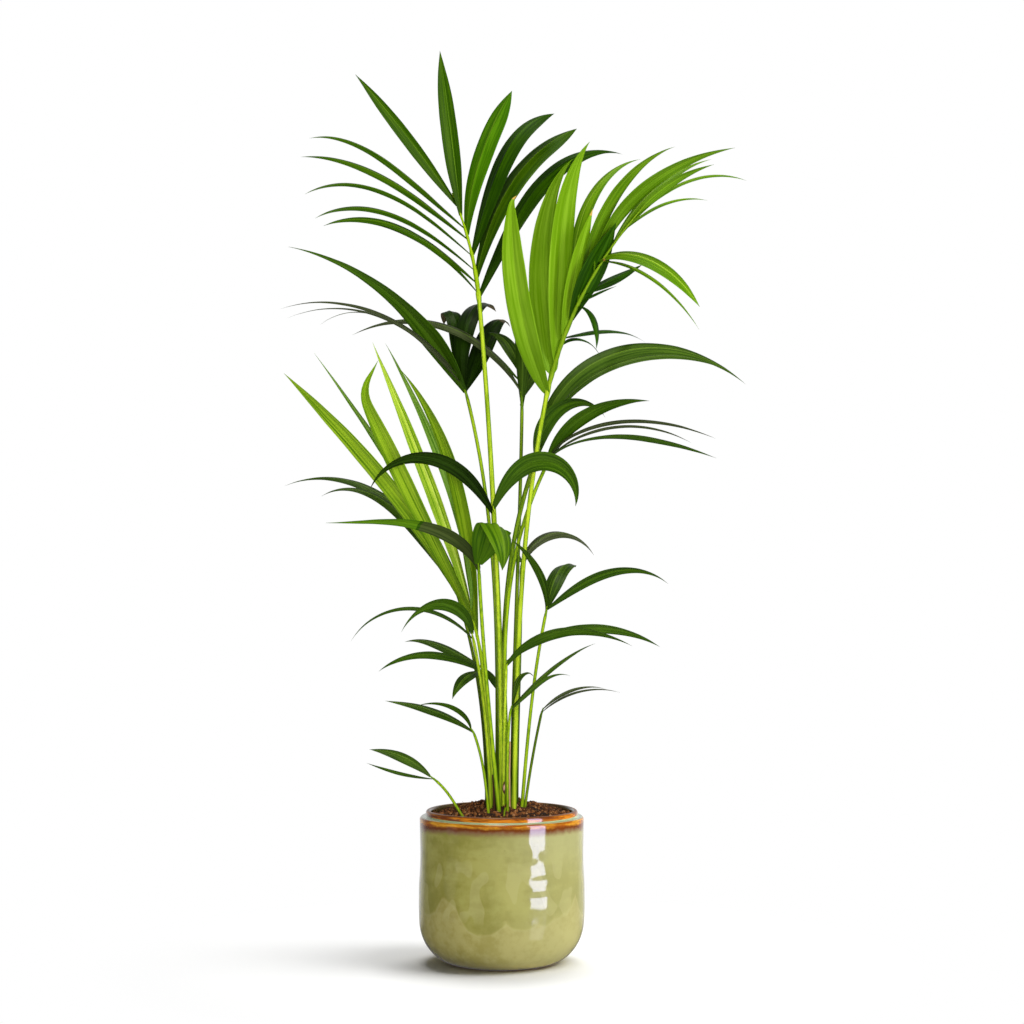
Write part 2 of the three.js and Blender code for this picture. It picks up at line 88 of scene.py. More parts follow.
class Tree:
    def __init__(self, tree):
        self.tree = tree

    def node(self, kind, settings=None, inputs=None, output=0):
        made = self.tree.nodes.new(kind)
        for name, value in (settings or {}).items():
            setattr(made, name, value)
        for key, value in (inputs or {}).items():
            if isinstance(value, Signal):
                self.tree.links.new(value.socket, pick(made.inputs, key))
            else:
                pick(made.inputs, key).default_value = value
        return Signal(self, pick(made.outputs, output)) if len(made.outputs) else None

    def vectorMath(self, operation, *values):
        return self.node("ShaderNodeVectorMath", {"operation": operation}, dict(enumerate(values)))

    def axis(self, vector, name):
        return self.node("ShaderNodeSeparateXYZ", None, {0: vector}, name)

    def vector(self, x, y, z):
        return self.node("ShaderNodeCombineXYZ", None, {"X": x, "Y": y, "Z": z})

    def mix(self, share, first, second):
        return self.node("ShaderNodeMix", {"data_type": "RGBA"},
                         {"Factor": share, "A": first, "B": second})

    # each coat is a share and the colour that covers so much of the ones before it
    def layers(self, color, *coats):
        for share, coat in coats:
            color = self.mix(share, color, coat)
        return color

    # 0 below low, 1 above high and a smooth step between them
    def step(self, value, low, high):
        return self.node("ShaderNodeMapRange", {"interpolation_type": "SMOOTHSTEP"},
                         {"Value": value, "From Min": low, "From Max": high})

    def attribute(self, name):
        return self.node("ShaderNodeAttribute", {"attribute_name": name}, None, "Fac")

    def place(self, stretch=(1, 1, 1)):
        spot = self.node("ShaderNodeTexCoord", None, None, "Object")
        return self.vectorMath("MULTIPLY", spot, stretch)

    def grain(self, vector, scale, detail, roughness=0.5):
        return self.node("ShaderNodeTexNoise", None, {
            "Vector": vector, "Scale": scale, "Detail": detail, "Roughness": roughness})

    def bump(self, height, strength, distance):
        return self.node("ShaderNodeBump", None,
                         {"Height": height, "Strength": strength, "Distance": distance})


# a colour given as red, green and blue out of 255, made linear
def paint(red, green, blue):
    def linear(value):
        return value / 12.92 if value <= 0.04045 else ((value + 0.055) / 1.055) ** 2.4
    return (*(linear(value / 255) for value in (red, green, blue)), 1)


# the emptied node tree of a material or a world
def emptyTree(owner):
    owner.use_nodes = True
    owner.node_tree.nodes.clear()
    return Tree(owner.node_tree)


# look(tree) gives the shader's inputs by name
def newMaterial(name, look):
    material = bpy.data.materials.new(name)
    tree = emptyTree(material)
    shader = tree.node("ShaderNodeBsdfPrincipled", None, look(tree))
    tree.node("ShaderNodeOutputMaterial", None, {"Surface": shader})
    return material


# Pieces

def newObject(name, data):
    piece = bpy.data.objects.new(name, data)
    bpy.context.scene.collection.objects.link(piece)
    return piece


def newMesh(name, points, faces):
    mesh = bpy.data.meshes.new(name)
    mesh.from_pydata(points, [], faces)
    mesh.validate()
    mesh.polygons.foreach_set("use_smooth", [True] * len(mesh.polygons))
    return mesh


# edges through each path's points, with every other list of a path as an attribute of them
def pathObject(name, paths, closed=False):
    points = [point for path in paths for point in path["points"]]
    edges = []
    start = 0
    for path in paths:
        count = len(path["points"])
        edges += [(start + step, start + step + 1) for step in range(count - 1)]
        edges += [(start + count - 1, start)] if closed else []
        start += count
    mesh = bpy.data.meshes.new(name)
    mesh.from_pydata(points, edges, [])
    for key in paths[0]:
        if key != "points":
            values = np.array([value for path in paths for value in path[key]], dtype=float)
            isVector = values.ndim > 1
            layer = mesh.attributes.new(key, "FLOAT_VECTOR" if isVector else "FLOAT", "POINT")
            layer.data.foreach_set("vector" if isVector else "value", values.ravel())
    return newObject(name, mesh)


# grows a source object by a node group and keeps the result as a plain mesh
def grow(name, source, group, values):
    modifier = source.modifiers.new(name, "NODES")
    modifier.node_group = group
    for item in group.interface.items_tree:
        if item.name in values:
            modifier[item.identifier] = values[item.name]
    graph = bpy.context.evaluated_depsgraph_get()
    mesh = bpy.data.meshes.new_from_object(
        source.evaluated_get(graph), preserve_all_data_layers=True, depsgraph=graph)
    bpy.data.objects.remove(source)
    return newObject(name, mesh)


def newGroup(name, sockets):
    group = bpy.data.node_groups.new(name, "GeometryNodeTree")
    for label, kind in (("Geometry", "Geometry"), *sockets):
        group.interface.new_socket(label, in_out="INPUT", socket_type="NodeSocket" + kind)
    group.interface.new_socket("Geometry", in_out="OUTPUT", socket_type="NodeSocketGeometry")
    tree = Tree(group)
    given = group.nodes.new("NodeGroupInput")
    return group, tree, {out.name: Signal(tree, out) for out in given.outputs if out.name}


def rideAndReplace(piece, node):
    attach(piece, "root")
    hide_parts(node)


# Values along a line

def smoothstep(value, low, high):
    share = min(1, max(0, (value - low) / (high - low)))
    return share * share * (3 - 2 * share)


# one number stays as it is, and several are spread evenly from share 0 to share 1
def spread(values, share):
    if not isinstance(values, tuple):
        return values
    place = share * (len(values) - 1)
    first = min(int(place), len(values) - 2)
    return values[first] + (values[first + 1] - values[first]) * (place - first)


def shares(steps):
    return [step / steps for step in range(steps + 1)]


# the points of a line at some shares of its length
def pointsAt(points, places):
    reach = np.cumsum([0] + [(after - before).length for before, after in zip(points, points[1:])])
    marks = np.array(places) * reach[-1]
    axes = [np.interp(marks, reach, [point[axis] for point in points]) for axis in range(3)]
    return [Vector(point) for point in zip(*axes)]


# Camera, lights and floor

studio = dict(
    eye=(13.7, -3330, 598), lens=88.0, sensor=36,  # level, along +Y
    floorReach=9000, floorSides=96, floorFade=(330, 560), floorWhite=0.93,
    roomGlow=0.12, roomShine=0.12, backShine=0.7,  # on dull and on glossy faces, of 1 for white
    backStart=(0.6, 0.95), backFoot=(-0.24, -0.15),  # where the back sets in, by a ray's Y and Z
)
window = dict(place=(820, -700, 470), aim=(0, 0, 470), size=(420, 1060), on=["glazedPot"])
# A light may fall on some pieces only, or on all but some, and may let only some cast shadows.
# One that isn't mirrored lights the pieces without a reflection, and one that isn't diffuse is
# only its reflection.
lights = {
    "window": dict(window, watts=13.5, tint=(0.68, 0.68, 1), diffuse=False),
    "daylight": dict(window, watts=12.5, mirrored=False),
    "table": dict(place=(820, -700, -330), aim=(0, 0, -330), size=(460, 460), watts=0.8,
                  on=["glazedPot"]),
    "left": dict(place=(-1600, -520, 250), aim=(0, 0, 150), size=(520, 800), watts=0.3,
                 on=["glazedPot"]),
    "wash": dict(place=(2300, -500, 500), aim=(0, 0, 100), size=(900, 900), watts=26,
                 on=["glazedPot"], mirrored=False),
    "right": dict(place=(1500, -1700, 1500), aim=(0, 0, 600), size=(700, 1100), watts=30,
                  off=["floor", "glazedPot"]),
    "ceiling": dict(place=(-300, -700, 4200), aim=(0, 0, 500), size=(1300, 1300), watts=56,
                    off=["floor"]),
    "front": dict(place=(100, -3000, 1100), aim=(0, 0, 500), size=(1200, 1200), watts=42,
                  off=["floor", "glazedPot"], mirrored=False),
    "near": dict(place=(500, -3000, 900), aim=(0, 0, 100), size=(1200, 1200), watts=29,
                 on=["glazedPot"], mirrored=False),
    "side": dict(place=(1500, -320, 2000), aim=(-60, 0, 0), size=(1300, 2100), watts=50,
                 on=["floor"], shadows=["glazedPot"]),
    "board": dict(place=(0, 900, 2850), aim=(0, 0, 0), size=(1600, 1400), watts=57, on=["floor"],
                  shadows=["glazedPot"]),
}
lightLinks = {
    "on": ("receiver_collection", "INCLUDE"),
    "off": ("receiver_collection", "EXCLUDE"),
    "shadows": ("blocker_collection", "INCLUDE"),
}


def addCamera():
    data = bpy.data.cameras.new("camera")
    data.lens = studio["lens"]
    data.sensor_width = studio["sensor"]
    camera = newObject("camera", data)
    camera.location = Vector(studio["eye"]) * mm
    camera.rotation_euler = (math.pi / 2, 0, 0)
    bpy.context.scene.camera = camera


def collectionOf(name, pieces, state):
    chosen = bpy.data.collections.new(name)
    for piece in pieces:
        chosen.objects.link(bpy.data.objects[piece])
    for link in chosen.collection_objects:
        link.light_linking.link_state = state
    return chosen


def addLights():
    for name, light in lights.items():
        data = bpy.data.lights.new(name, "AREA")
        data.shape = "RECTANGLE"
        data.size, data.size_y = (side * mm for side in light["size"])
        data.energy = light["watts"]
        data.color = light.get("tint", (1, 1, 1))
        lamp = newObject(name, data)
        lamp.location = Vector(light["place"]) * mm
        aim = Vector(light["aim"]) * mm - lamp.location
        lamp.rotation_euler = aim.to_track_quat("-Z", "Y").to_euler()
        lamp.visible_camera = False
        lamp.visible_glossy = light.get("mirrored", True)
        lamp.visible_diffuse = light.get("diffuse", True)
        for key, (target, state) in lightLinks.items():
            if key in light:
                setattr(lamp.light_linking, target, collectionOf(name + key, light[key], state))


# white to the camera, dim to the pieces, and brighter in reflections that look to the back
def addRoom():
    world = bpy.data.worlds.new("room")
    tree = emptyTree(world)
    seen = tree.node("ShaderNodeLightPath", None, None, "Is Camera Ray")
    shine = tree.node("ShaderNodeLightPath", None, None, "Is Glossy Ray")
    way = tree.node("ShaderNodeTexCoord", None, None, "Generated")
    behind = tree.step(tree.axis(way, "Y"), *studio["backStart"])
    behind = behind * tree.step(tree.axis(way, "Z"), *studio["backFoot"])
    shown = behind * (studio["backShine"] - studio["roomShine"]) + studio["roomShine"]
    dim = shine * shown + (1 - shine) * studio["roomGlow"]
    strength = seen + (1 - seen) * dim
    glow = tree.node("ShaderNodeBackground", None, {"Color": (1, 1, 1, 1), "Strength": strength})
    tree.node("ShaderNodeOutputWorld", None, {"Surface": glow})
    bpy.context.scene.world = world
    bpy.context.scene.view_settings.view_transform = "Standard"


# white board that turns into the white of the room further out
def addFloor():
    reach = studio["floorReach"] * mm
    count = studio["floorSides"]
    turns = [2 * math.pi * side / count for side in range(count)]
    rim = [(reach * math.cos(turn), reach * math.sin(turn), 0) for turn in turns]
    floor = newObject("floor", newMesh("floor", rim, [tuple(range(count))]))
    material = bpy.data.materials.new("whiteBoard")
    tree = emptyTree(material)
    away = tree.vectorMath("LENGTH", tree.place())
    near, far = (edge * mm for edge in studio["floorFade"])
    board = tree.node("ShaderNodeBsdfDiffuse", None, {"Color": (*[studio["floorWhite"]] * 3, 1)})
    glow = tree.node("ShaderNodeEmission", None, {"Color": (1, 1, 1, 1), "Strength": 1.0})
    fade = tree.step(away, near, far)
    surface = tree.node("ShaderNodeMixShader", None, {0: fade, 1: board, 2: glow})
    tree.node("ShaderNodeOutputMaterial", None, {"Surface": surface})
    floor.data.materials.append(material)
    floor.visible_glossy = False


addCamera()
addRoom()
addFloor()
print("studio ready")


# Pot

pot = dict(
    footRadius=62, cornerHeight=60, bellyRadius=110, bellyHeight=95, waistRadius=108,
    waistHeight=150, shoulderRadius=109, shoulderHeight=194, ringRadius=101, rimHeight=202,
    mouthRadius=94, neckHeight=190, chestHeight=174, wall=9, shoulderRound=4, grooveRound=1.2,
    sides=240, cornerSteps=24, wallSteps=60, shoulderSteps=8, grooveSteps=4, rimSteps=14,
    frontRise=1.4,  # how much higher the hand-made rim is at the front
    waves=((0.45, 2.3), (0.28, 5.1)), waveHeight=110,  # depth and fineness of the wall's unevenness
    footFade=30, topFade=20, topClear=6,  # where the unevenness fades out
)
# hand-pressed hollows (depth over 0) and swellings: degrees round +Z, height, half width in
# degrees, half height and depth
dents = (
    (222, 150, 16, 22, 0.9), (214, 112, 14, 20, -0.8), (238, 128, 10, 15, 0.7),
    (232, 92, 9, 10, -0.6), (246, 84, 14, 13, 0.8), (268, 74, 12, 11, -0.6), (262, 92, 9, 7, 0.5),
    (295, 180, 12, 12, 0.6), (293, 154, 5, 11, -1.1), (302, 131, 8, 6, -0.6),
    (295, 120, 10, 5, 0.6), (299, 109, 9, 4.5, -0.5), (293, 99, 10, 5, 0.5),
    (312, 88, 12, 12, -0.4), (331, 120, 12, 22, 0.9), (350, 150, 10, 18, -0.7),
)
glaze = dict(
    oliveDeep=(138, 134, 58), oliveLight=(164, 160, 84), oliveEnd=(124, 118, 48),
    sandDeep=(154, 145, 76), sandLight=(172, 163, 98), sandEdge=(184, 178, 122),
    patch=(188, 182, 124), paintedSheen=(172, 170, 122), speck=(92, 76, 34), foot=(196, 184, 112),
    bareFoot=(190, 150, 92), dusk=(124, 92, 62), brown=(106, 50, 8),
    honeyDeep=(156, 78, 3), honeyLight=(226, 160, 36), ringDeep=(124, 58, 4),
    ringLight=(222, 132, 22), lip=(112, 62, 22), ledge=(180, 202, 156),
    innerDeep=(84, 60, 26), innerLight=(124, 106, 60),
)


def arc(centerRadius, centerHeight, size, start, end, steps):
    turns = [math.radians(start + (end - start) * share) for share in shares(steps)]
    return [(centerRadius + size * math.cos(t), centerHeight + size * math.sin(t)) for t in turns]


def cupCorner(foot, side, floor):
    turns = [math.pi / 2 * share for share in shares(pot["cornerSteps"])]
    rise = pot["cornerHeight"] - floor
    return [(foot + (side - foot) * math.sin(t), floor + rise * (1 - math.cos(t))) for t in turns]


# the outer wall between belly and shoulder, through the waist, with smooth ends
def outerWall():
    heights = (pot["cornerHeight"], pot["bellyHeight"], pot["waistHeight"],
               pot["shoulderHeight"] - pot["shoulderRound"])
    radii = (pot["bellyRadius"], pot["bellyRadius"], pot["waistRadius"], pot["shoulderRadius"])
    points = []
    for share in shares(pot["wallSteps"])[1:-1]:
        height = heights[0] + (heights[-1] - heights[0]) * share
        near = max(i for i in range(len(heights) - 1) if heights[i] <= height)
        eased = smoothstep(height, heights[near], heights[near + 1])
        points.append((radii[near] + (radii[near + 1] - radii[near]) * eased, height))
    return points


def potProfile():
    foot, shoulder, ring = pot["footRadius"], pot["shoulderRadius"], pot["ringRadius"]
    top, ledge, wall = pot["rimHeight"], pot["shoulderHeight"], pot["wall"]
    lip = (ring - pot["mouthRadius"]) / 2
    groove, edge = pot["grooveRound"], pot["shoulderRound"]
    inside = pot["bellyRadius"] - wall
    return [
        (0, 0), (foot * 0.5, 0), (foot - 3, 0),
        *cupCorner(foot, pot["bellyRadius"], 0),
        *outerWall(),
        *arc(shoulder - edge, ledge - edge, edge, 0, 90, pot["shoulderSteps"]),
        *arc(ring + groove, ledge + groove, groove, 270, 180, pot["grooveSteps"]),
        *arc(ring - lip, top - lip, lip, 0, 180, pot["rimSteps"]),
        (pot["mouthRadius"], pot["neckHeight"]),
        (inside, pot["chestHeight"]),
        *reversed(cupCorner(foot - wall / 2, inside, wall)),
        (0, wall),
    ]


# how far the hand-made outer wall stands in from the true circle
def pressed(angle, height):
    fade = min(1, max(0, height / pot["footFade"]),
               max(0, (pot["shoulderHeight"] - pot["topClear"] - height) / pot["topFade"]))
    spot = Vector((math.cos(angle), math.sin(angle), height / pot["waveHeight"]))
    depth = sum(size * noise.noise(spot * fineness) for size, fineness in pot["waves"])
    for middle, level, wide, tall, deep in dents:
        turn = (math.degrees(angle) - middle + 180) % 360 - 180
        depth += deep * math.exp(-(turn / wide) ** 2 - ((height - level) / tall) ** 2)
    return depth * fade


# a closed solid of revolution from a profile that starts and ends on the axis
def turned(name, profile, sides, shape=None):
    points = [(0, 0, profile[0][1])]
    for radius, height in profile[1:-1]:
        for side in range(sides):
            angle = 2 * math.pi * side / sides
            across = shape(angle, radius, height) if shape else radius
            points.append((across * math.cos(angle), across * math.sin(angle), height))
    points.append((0, 0, profile[-1][1]))
    last = len(points) - 1
    rings = len(profile) - 2
    faces = []
    for side in range(sides):
        after = (side + 1) % sides
        faces.append((0, 1 + after, 1 + side))
        for ring in range(rings - 1):
            low, high = 1 + ring * sides, 1 + (ring + 1) * sides
            faces.append((low + side, low + after, high + after, high + side))
        top = 1 + (rings - 1) * sides
        faces.append((last, top + side, top + after))
    return newMesh(name, [Vector(point) * mm for point in points], faces)


# heights are millimetres above the floor
def glazeLook(tree):
    colors = {name: paint(*shade) for name, shade in glaze.items()}
    place = tree.place()
    side, height = tree.axis(place, "X") * 1000, tree.axis(place, "Z") * 1000
    cloud = tree.grain(place, 14, 3)
    fine = tree.grain(place, 90, 4, 0.6)
    speck = tree.grain(place, 640, 1)
    band = tree.grain(tree.place((20, 20, 110)), 1, 2)
    streak = tree.grain(tree.place((30, 30, 240)), 1, 3, 0.6)
    spots = tree.step(tree.grain(tree.place((44, 44, 30)), 1, 0), 0.6, 0.63)
    # an olive coat hangs in round lobes over a sandier one, thick and dark at their ends
    lobes = {"Vector": tree.place((1, 1, 0)), "Scale": 17}
    drop = tree.node("ShaderNodeTexVoronoi", None, lobes, "Distance")
    edge = height - drop * drop * 70 + cloud * 40 - 8
    shade = tree.step(cloud * 0.6 + band * 0.15 + fine * 0.25, 0.4, 0.6)
    olive = tree.mix(shade, colors["oliveDeep"], colors["oliveLight"])
    shade = tree.step(fine * 0.5 + cloud * 0.5, 0.38, 0.6)
    sand = tree.mix(shade, colors["sandDeep"], colors["sandLight"])
    body = tree.layers(
        sand,
        (tree.step(edge, 56, 62), olive),
        (tree.step(edge, 58, 63) * tree.step(edge, 84, 64) * 0.28, colors["oliveEnd"]),
        (tree.step(abs(edge - 57), 3, 0.5) * 0.15, colors["sandEdge"]),
        (spots * tree.step(height, 160, 130) * tree.step(height, 60, 80) * 0.3, colors["patch"]),
        # a pale, cooler coat over the right side of the pot is a painted sheen where the window
        # light falls
        (tree.step(side, -70, 80) * (tree.step(height, 110, 176) * 0.3 + 0.4), colors["paintedSheen"]),
        (tree.step(speck, 0.72, 0.76) * tree.step(height, 130, 170) * 0.5, colors["speck"]),
        # lighter towards the foot: partly the glaze thinning there, partly painted light over the
        # shade beneath the belly
        (tree.step(height, 14, 5) * 0.8, colors["foot"]),
        (tree.step(height, 3.5, 1), colors["bareFoot"]))
    # the coat thins to honey and brown over the shoulder and the ring
    front = tree.step(tree.axis(place, "Y"), -0.02, -0.109)
    rim = height + fine * 7 + cloud * 6 - 6.5 - front * 2.5
    honey = tree.mix(tree.step(streak, 0.36, 0.64), colors["honeyDeep"], colors["honeyLight"])
    ring = tree.mix(tree.step(streak, 0.4, 0.6), colors["ringDeep"], colors["ringLight"])
    radius = tree.vectorMath("LENGTH", tree.place((1000, 1000, 0)))
    ledge = tree.step(radius, 99, 100.8) * tree.step(radius, 107.6, 106.8)
    ledge = ledge * tree.step(height, 192, 193) * tree.step(height, 196.8, 195.8)
    body = tree.layers(
        body,
        (tree.step(rim, 174, 182), colors["dusk"]),
        (tree.step(rim, 180.5, 184.5), colors["brown"]),
        (tree.step(rim, 184.5, 190), honey),
        (tree.step(height, 195.5, 197.5), ring),
        (tree.step(height, 200, 202.5) * 0.8, colors["lip"]),
        (ledge, colors["ledge"]))
    return {
        "Base Color": body,
        "Roughness": fine * 0.06 + 0.06 + tree.step(height, 200, 202) * 0.2,
        "Normal": tree.bump(cloud * 0.7 + fine * 0.3, 0.1, 0.0015),
        "Coat Weight": tree.step(height, 201.5, 199.5) * 0.5,
        "Coat Roughness": 0.04,
    }


def innerGlazeLook(tree):
    cloud = tree.step(tree.grain(tree.place(), 24, 4, 0.6), 0.35, 0.65)
    return {
        "Base Color": tree.mix(cloud, paint(*glaze["innerDeep"]), paint(*glaze["innerLight"])),
        "Roughness": 0.12,
        "Coat Weight": 0.5,
    }


def makePot():
    def shape(angle, radius, height):
        isOuter = radius > pot["bellyRadius"] - pot["wall"] / 2 or (
            height < pot["cornerHeight"] and radius > pot["footRadius"])
        return radius - pressed(angle, height) if isOuter else radius
    mesh = turned("glazedPot", potProfile(), pot["sides"], shape)
    for corner in mesh.vertices:
        front = max(0, -corner.co.y / mm / pot["shoulderRadius"])
        high = smoothstep(corner.co.z / mm, pot["waistHeight"], pot["neckHeight"])
        corner.co.z += pot["frontRise"] * mm * front * high
    mesh.materials.append(newMaterial("celadonGlaze", glazeLook))
    mesh.materials.append(newMaterial("innerGlaze", innerGlazeLook))
    for face in mesh.polygons:
        outward = Vector((face.center.x, face.center.y, 0))
        isInner = face.normal.dot(outward) < 0 or face.normal.z > 0.9
        isMouth = outward.length < (pot["mouthRadius"] + 2) * mm
        face.material_index = int(isInner and isMouth and face.center.z > pot["wall"] * mm / 2)
    rideAndReplace(newObject("glazedPot", mesh), "pot")


makePot()
print("pot ready")


# Soil

soil = dict(
    edge=189, rise=22, moundX=3, moundY=32, spread=52, settle=2, slack=0.6, floorGap=0.3,
    crumb=1.8, waveX=6, waveY=5,  # small waves all over the mound
    lumpSize=1.3, lumpWide=7, bitWide=3, bitShare=0.6,  # the crust's lumps, and finer bits on them
    heap=8, heapX=2, heapY=-32, heapWide=32, heapDeep=20,  # more soil round the feet of the stalks
    sides=120, rings=46, crustFrom=186.2,  # faces above this height may carry grains
    deep=(26, 12, 5), light=(72, 40, 17), speck=(150, 112, 76),
)
# colours from deep to light, grains to a square metre, and their smallest and largest size
crumbs = {
    "darkCrumbs": dict(tones=((50, 26, 11), (122, 72, 36)), density=20000, sizes=(3, 8.5),
                       seed=3),
    "brownCrumbs": dict(tones=((122, 70, 32), (172, 112, 60)), density=22000, sizes=(2.5, 7),
                        seed=8),
    "paleCrumbs": dict(tones=((170, 114, 70), (216, 164, 112)), density=6000, sizes=(2, 5),
                       seed=5),
    "fibres": dict(tones=((150, 98, 50), (200, 150, 92)), density=6000, sizes=(5, 13), seed=11),
}
lump = dict(radius=0.5, uneven=(0.65, 1.15))
fibre = dict(steps=4, bend=0.16, width=0.045, taper=0.6, flat=0.6)  # as shares of its length
upwardSlope = 0.4  # the least Z of the normal of a face that carries grains


def soilHeight(x, y):
    away = math.hypot(x - soil["moundX"], y - soil["moundY"]) / soil["spread"]
    waves = soil["crumb"] * math.sin(x / soil["waveX"] + 1) * math.cos(y / soil["waveY"])
    return soil["edge"] + soil["rise"] * math.exp(-0.5 * away * away) + waves


# the uneven top of the crust, with the soil heaped up at the front of the clump
def crustHeight(x, y):
    lumps = noise.noise(Vector((x, y, 0)) / soil["lumpWide"])
    bits = noise.noise(Vector((x, y, 9)) / soil["bitWide"])
    across, deep = (x - soil["heapX"]) / soil["heapWide"], (y - soil["heapY"]) / soil["heapDeep"]
    heap = soil["heap"] * math.exp(-across * across - deep * deep)
    return soilHeight(x, y) + soil["lumpSize"] * (lumps + soil["bitShare"] * bits) + heap


def soilLook(deep, light):
    def look(tree):
        clump = tree.grain(tree.place(), 260, 4, 0.7)
        speck = tree.grain(tree.place(), 900, 3, 0.7)
        color = tree.layers(
            paint(*deep),
            (tree.step(clump, 0.35, 0.68), paint(*light)),
            (tree.step(speck, 0.62, 0.72) * 0.6, paint(*soil["speck"])))
        return {
            "Base Color": color,
            "Roughness": 0.95,
            "Normal": tree.bump(clump + speck * 0.5, 0.9, 0.002),
        }
    return look


# scatters small grains over the upward faces of a surface, each turned and sized by chance
def grainGroup():
    group, tree, given = newGroup("grains", (
        ("Grain", "Object"), ("Density", "Float"), ("Smallest", "Float"), ("Largest", "Float"),
        ("Seed", "Int"), ("Material", "Material")))
    upward = tree.axis(tree.node("GeometryNodeInputNormal"), "Z") > upwardSlope
    points = tree.node("GeometryNodeDistributePointsOnFaces", {"distribute_method": "RANDOM"}, {
        "Mesh": given["Geometry"], "Selection": upward, "Density": given["Density"],
        "Seed": given["Seed"]})
    turn = tree.node("FunctionNodeRandomValue", {"data_type": "FLOAT_VECTOR"}, {
        "Min": (0, 0, 0), "Max": (2 * math.pi,) * 3, "Seed": given["Seed"]})
    size = tree.node("FunctionNodeRandomValue", {"data_type": "FLOAT"}, {
        "Min": given["Smallest"], "Max": given["Largest"], "Seed": given["Seed"]})
    grain = tree.node("GeometryNodeObjectInfo", None, {"Object": given["Grain"]}, "Geometry")
    strewn = tree.node("GeometryNodeInstanceOnPoints", None, {
        "Points": points, "Instance": grain, "Rotation": turn, "Scale": size})
    strewn = tree.node("GeometryNodeRealizeInstances", None, {"Geometry": strewn})
    strewn = tree.node("GeometryNodeSetMaterial", None, {
        "Geometry": strewn, "Material": given["Material"]})
    tree.node("NodeGroupOutput", None, {"Geometry": strewn})
    return group


# an uneven lump of 20 faces, about 1 m across, to be scaled down
def lumpGrain(seed):
    golden = (1 + math.sqrt(5)) / 2
    corners = [Vector(c).normalized() for s in (-1, 1) for t in (-golden, golden)
               for c in ((s, t, 0), (0, s, t), (t, 0, s))]
    chance = random.Random(seed)
    points = [corner * lump["radius"] * chance.uniform(*lump["uneven"]) for corner in corners]
    side = min((a - b).length for a, b in itertools.combinations(corners, 2)) * 1.01
    faces = []
    for i, j, k in itertools.combinations(range(len(corners)), 3):
        a, b, c = corners[i], corners[j], corners[k]
        if max((a - b).length, (b - c).length, (c - a).length) < side:
            isOutward = (b - a).cross(c - a).dot(a + b + c) > 0
            faces.append((i, j, k) if isOutward else (i, k, j))
    return newObject("lump", newMesh("lump", points, faces))


# a thin bent scrap, about 1 m long, to be scaled down
def fibreGrain():
    points = []
    for share in shares(fibre["steps"]):
        bend = fibre["bend"] * math.sin(math.pi * share)
        wide = fibre["width"] * (1 - fibre["taper"] * abs(2 * share - 1))
        points += [Vector((share - 0.5, wide * x, bend + wide * fibre["flat"] * z))
                   for x, z in ((1, 0), (0, 1), (-1, 0), (0, -1))]
    last = len(points) - 1
    faces = [(0, 1, 2, 3), (last, last - 1, last - 2, last - 3)]
    for low in range(0, last - 4, 4):
        for side in range(4):
            after = (side + 1) % 4
            faces.append((low + side, low + 4 + side, low + 4 + after, low + after))
    return newObject("fibre", newMesh("fibre", points, faces))


def makeSoil():
    neck = pot["mouthRadius"] - soil["slack"]
    side = pot["bellyRadius"] - pot["wall"] - soil["slack"]
    floor = pot["wall"] + soil["floorGap"]
    profile = [
        (0, floor), *cupCorner(pot["footRadius"] - pot["wall"], side, floor),
        (side, pot["chestHeight"] - soil["settle"]), (neck, pot["neckHeight"] - soil["settle"]),
        *((neck * (1 - share), soil["edge"]) for share in shares(soil["rings"])),
    ]
    mesh = turned("soil", profile, soil["sides"])
    for corner in mesh.vertices:
        if abs(corner.co.z / mm - soil["edge"]) < 0.3:
            corner.co.z = crustHeight(corner.co.x / mm, corner.co.y / mm) * mm
    mesh.materials.append(newMaterial("peatySoil", soilLook(soil["deep"], soil["light"])))
    rideAndReplace(newObject("pottingSoil", mesh), "soil")
    crust = [tuple(face.vertices) for face in mesh.polygons
             if face.normal.z > upwardSlope and face.center.z / mm > soil["crustFrom"]]
    group = grainGroup()
    for name, kind in crumbs.items():
        seat = newObject("seat", newMesh("seat", [corner.co for corner in mesh.vertices], crust))
        grain = fibreGrain() if name == "fibres" else lumpGrain(kind["seed"])
        smallest, largest = (size * mm for size in kind["sizes"])
        strewn = grow(name, seat, group, {
            "Grain": grain, "Density": kind["density"], "Smallest": smallest, "Largest": largest,
            "Seed": kind["seed"], "Material": newMaterial(name, soilLook(*kind["tones"]))})
        bpy.data.objects.remove(grain)
        rideAndReplace(strewn, "soil")


makeSoil()
print("soil ready")


# Stalks and fronds
# A stalk goes from its foot (x, y) to its tip (x, y, z). Its lean is the way in x and y for
# each unit of height, at the foot and at the tip, and its girth tapers likewise. A frond's rib
# goes on from there, and its leaflets come in rows. A row has as many leaflets as it has places.
# Any other value is one number, or several spread evenly from the first leaflet to the last:
#   place    along the rib, 0 at the stalk and 1 at its tip
#   bearing  degrees round +Z, 0 towards +X and 270 towards the front, -Y
#   rise     degrees above level at the base, and droop is the whole bend from there
#   late     1 bends evenly, more bends near the tip and less near the base
#   fold     place and degrees of a sharp bend, and lift turns the tip up again
#   width    at the widest share; full over 1 starts thinner, and blunt over 1 ends thicker
#   tint     1 takes the Shaded tone and 2 the Sunlit one, up to tintEnd
#   dry      where the dry tip starts, or below 0.5 the middle of a dry band
#   roll     0 faces up and 90 faces the front, and twist adds to it from the base on

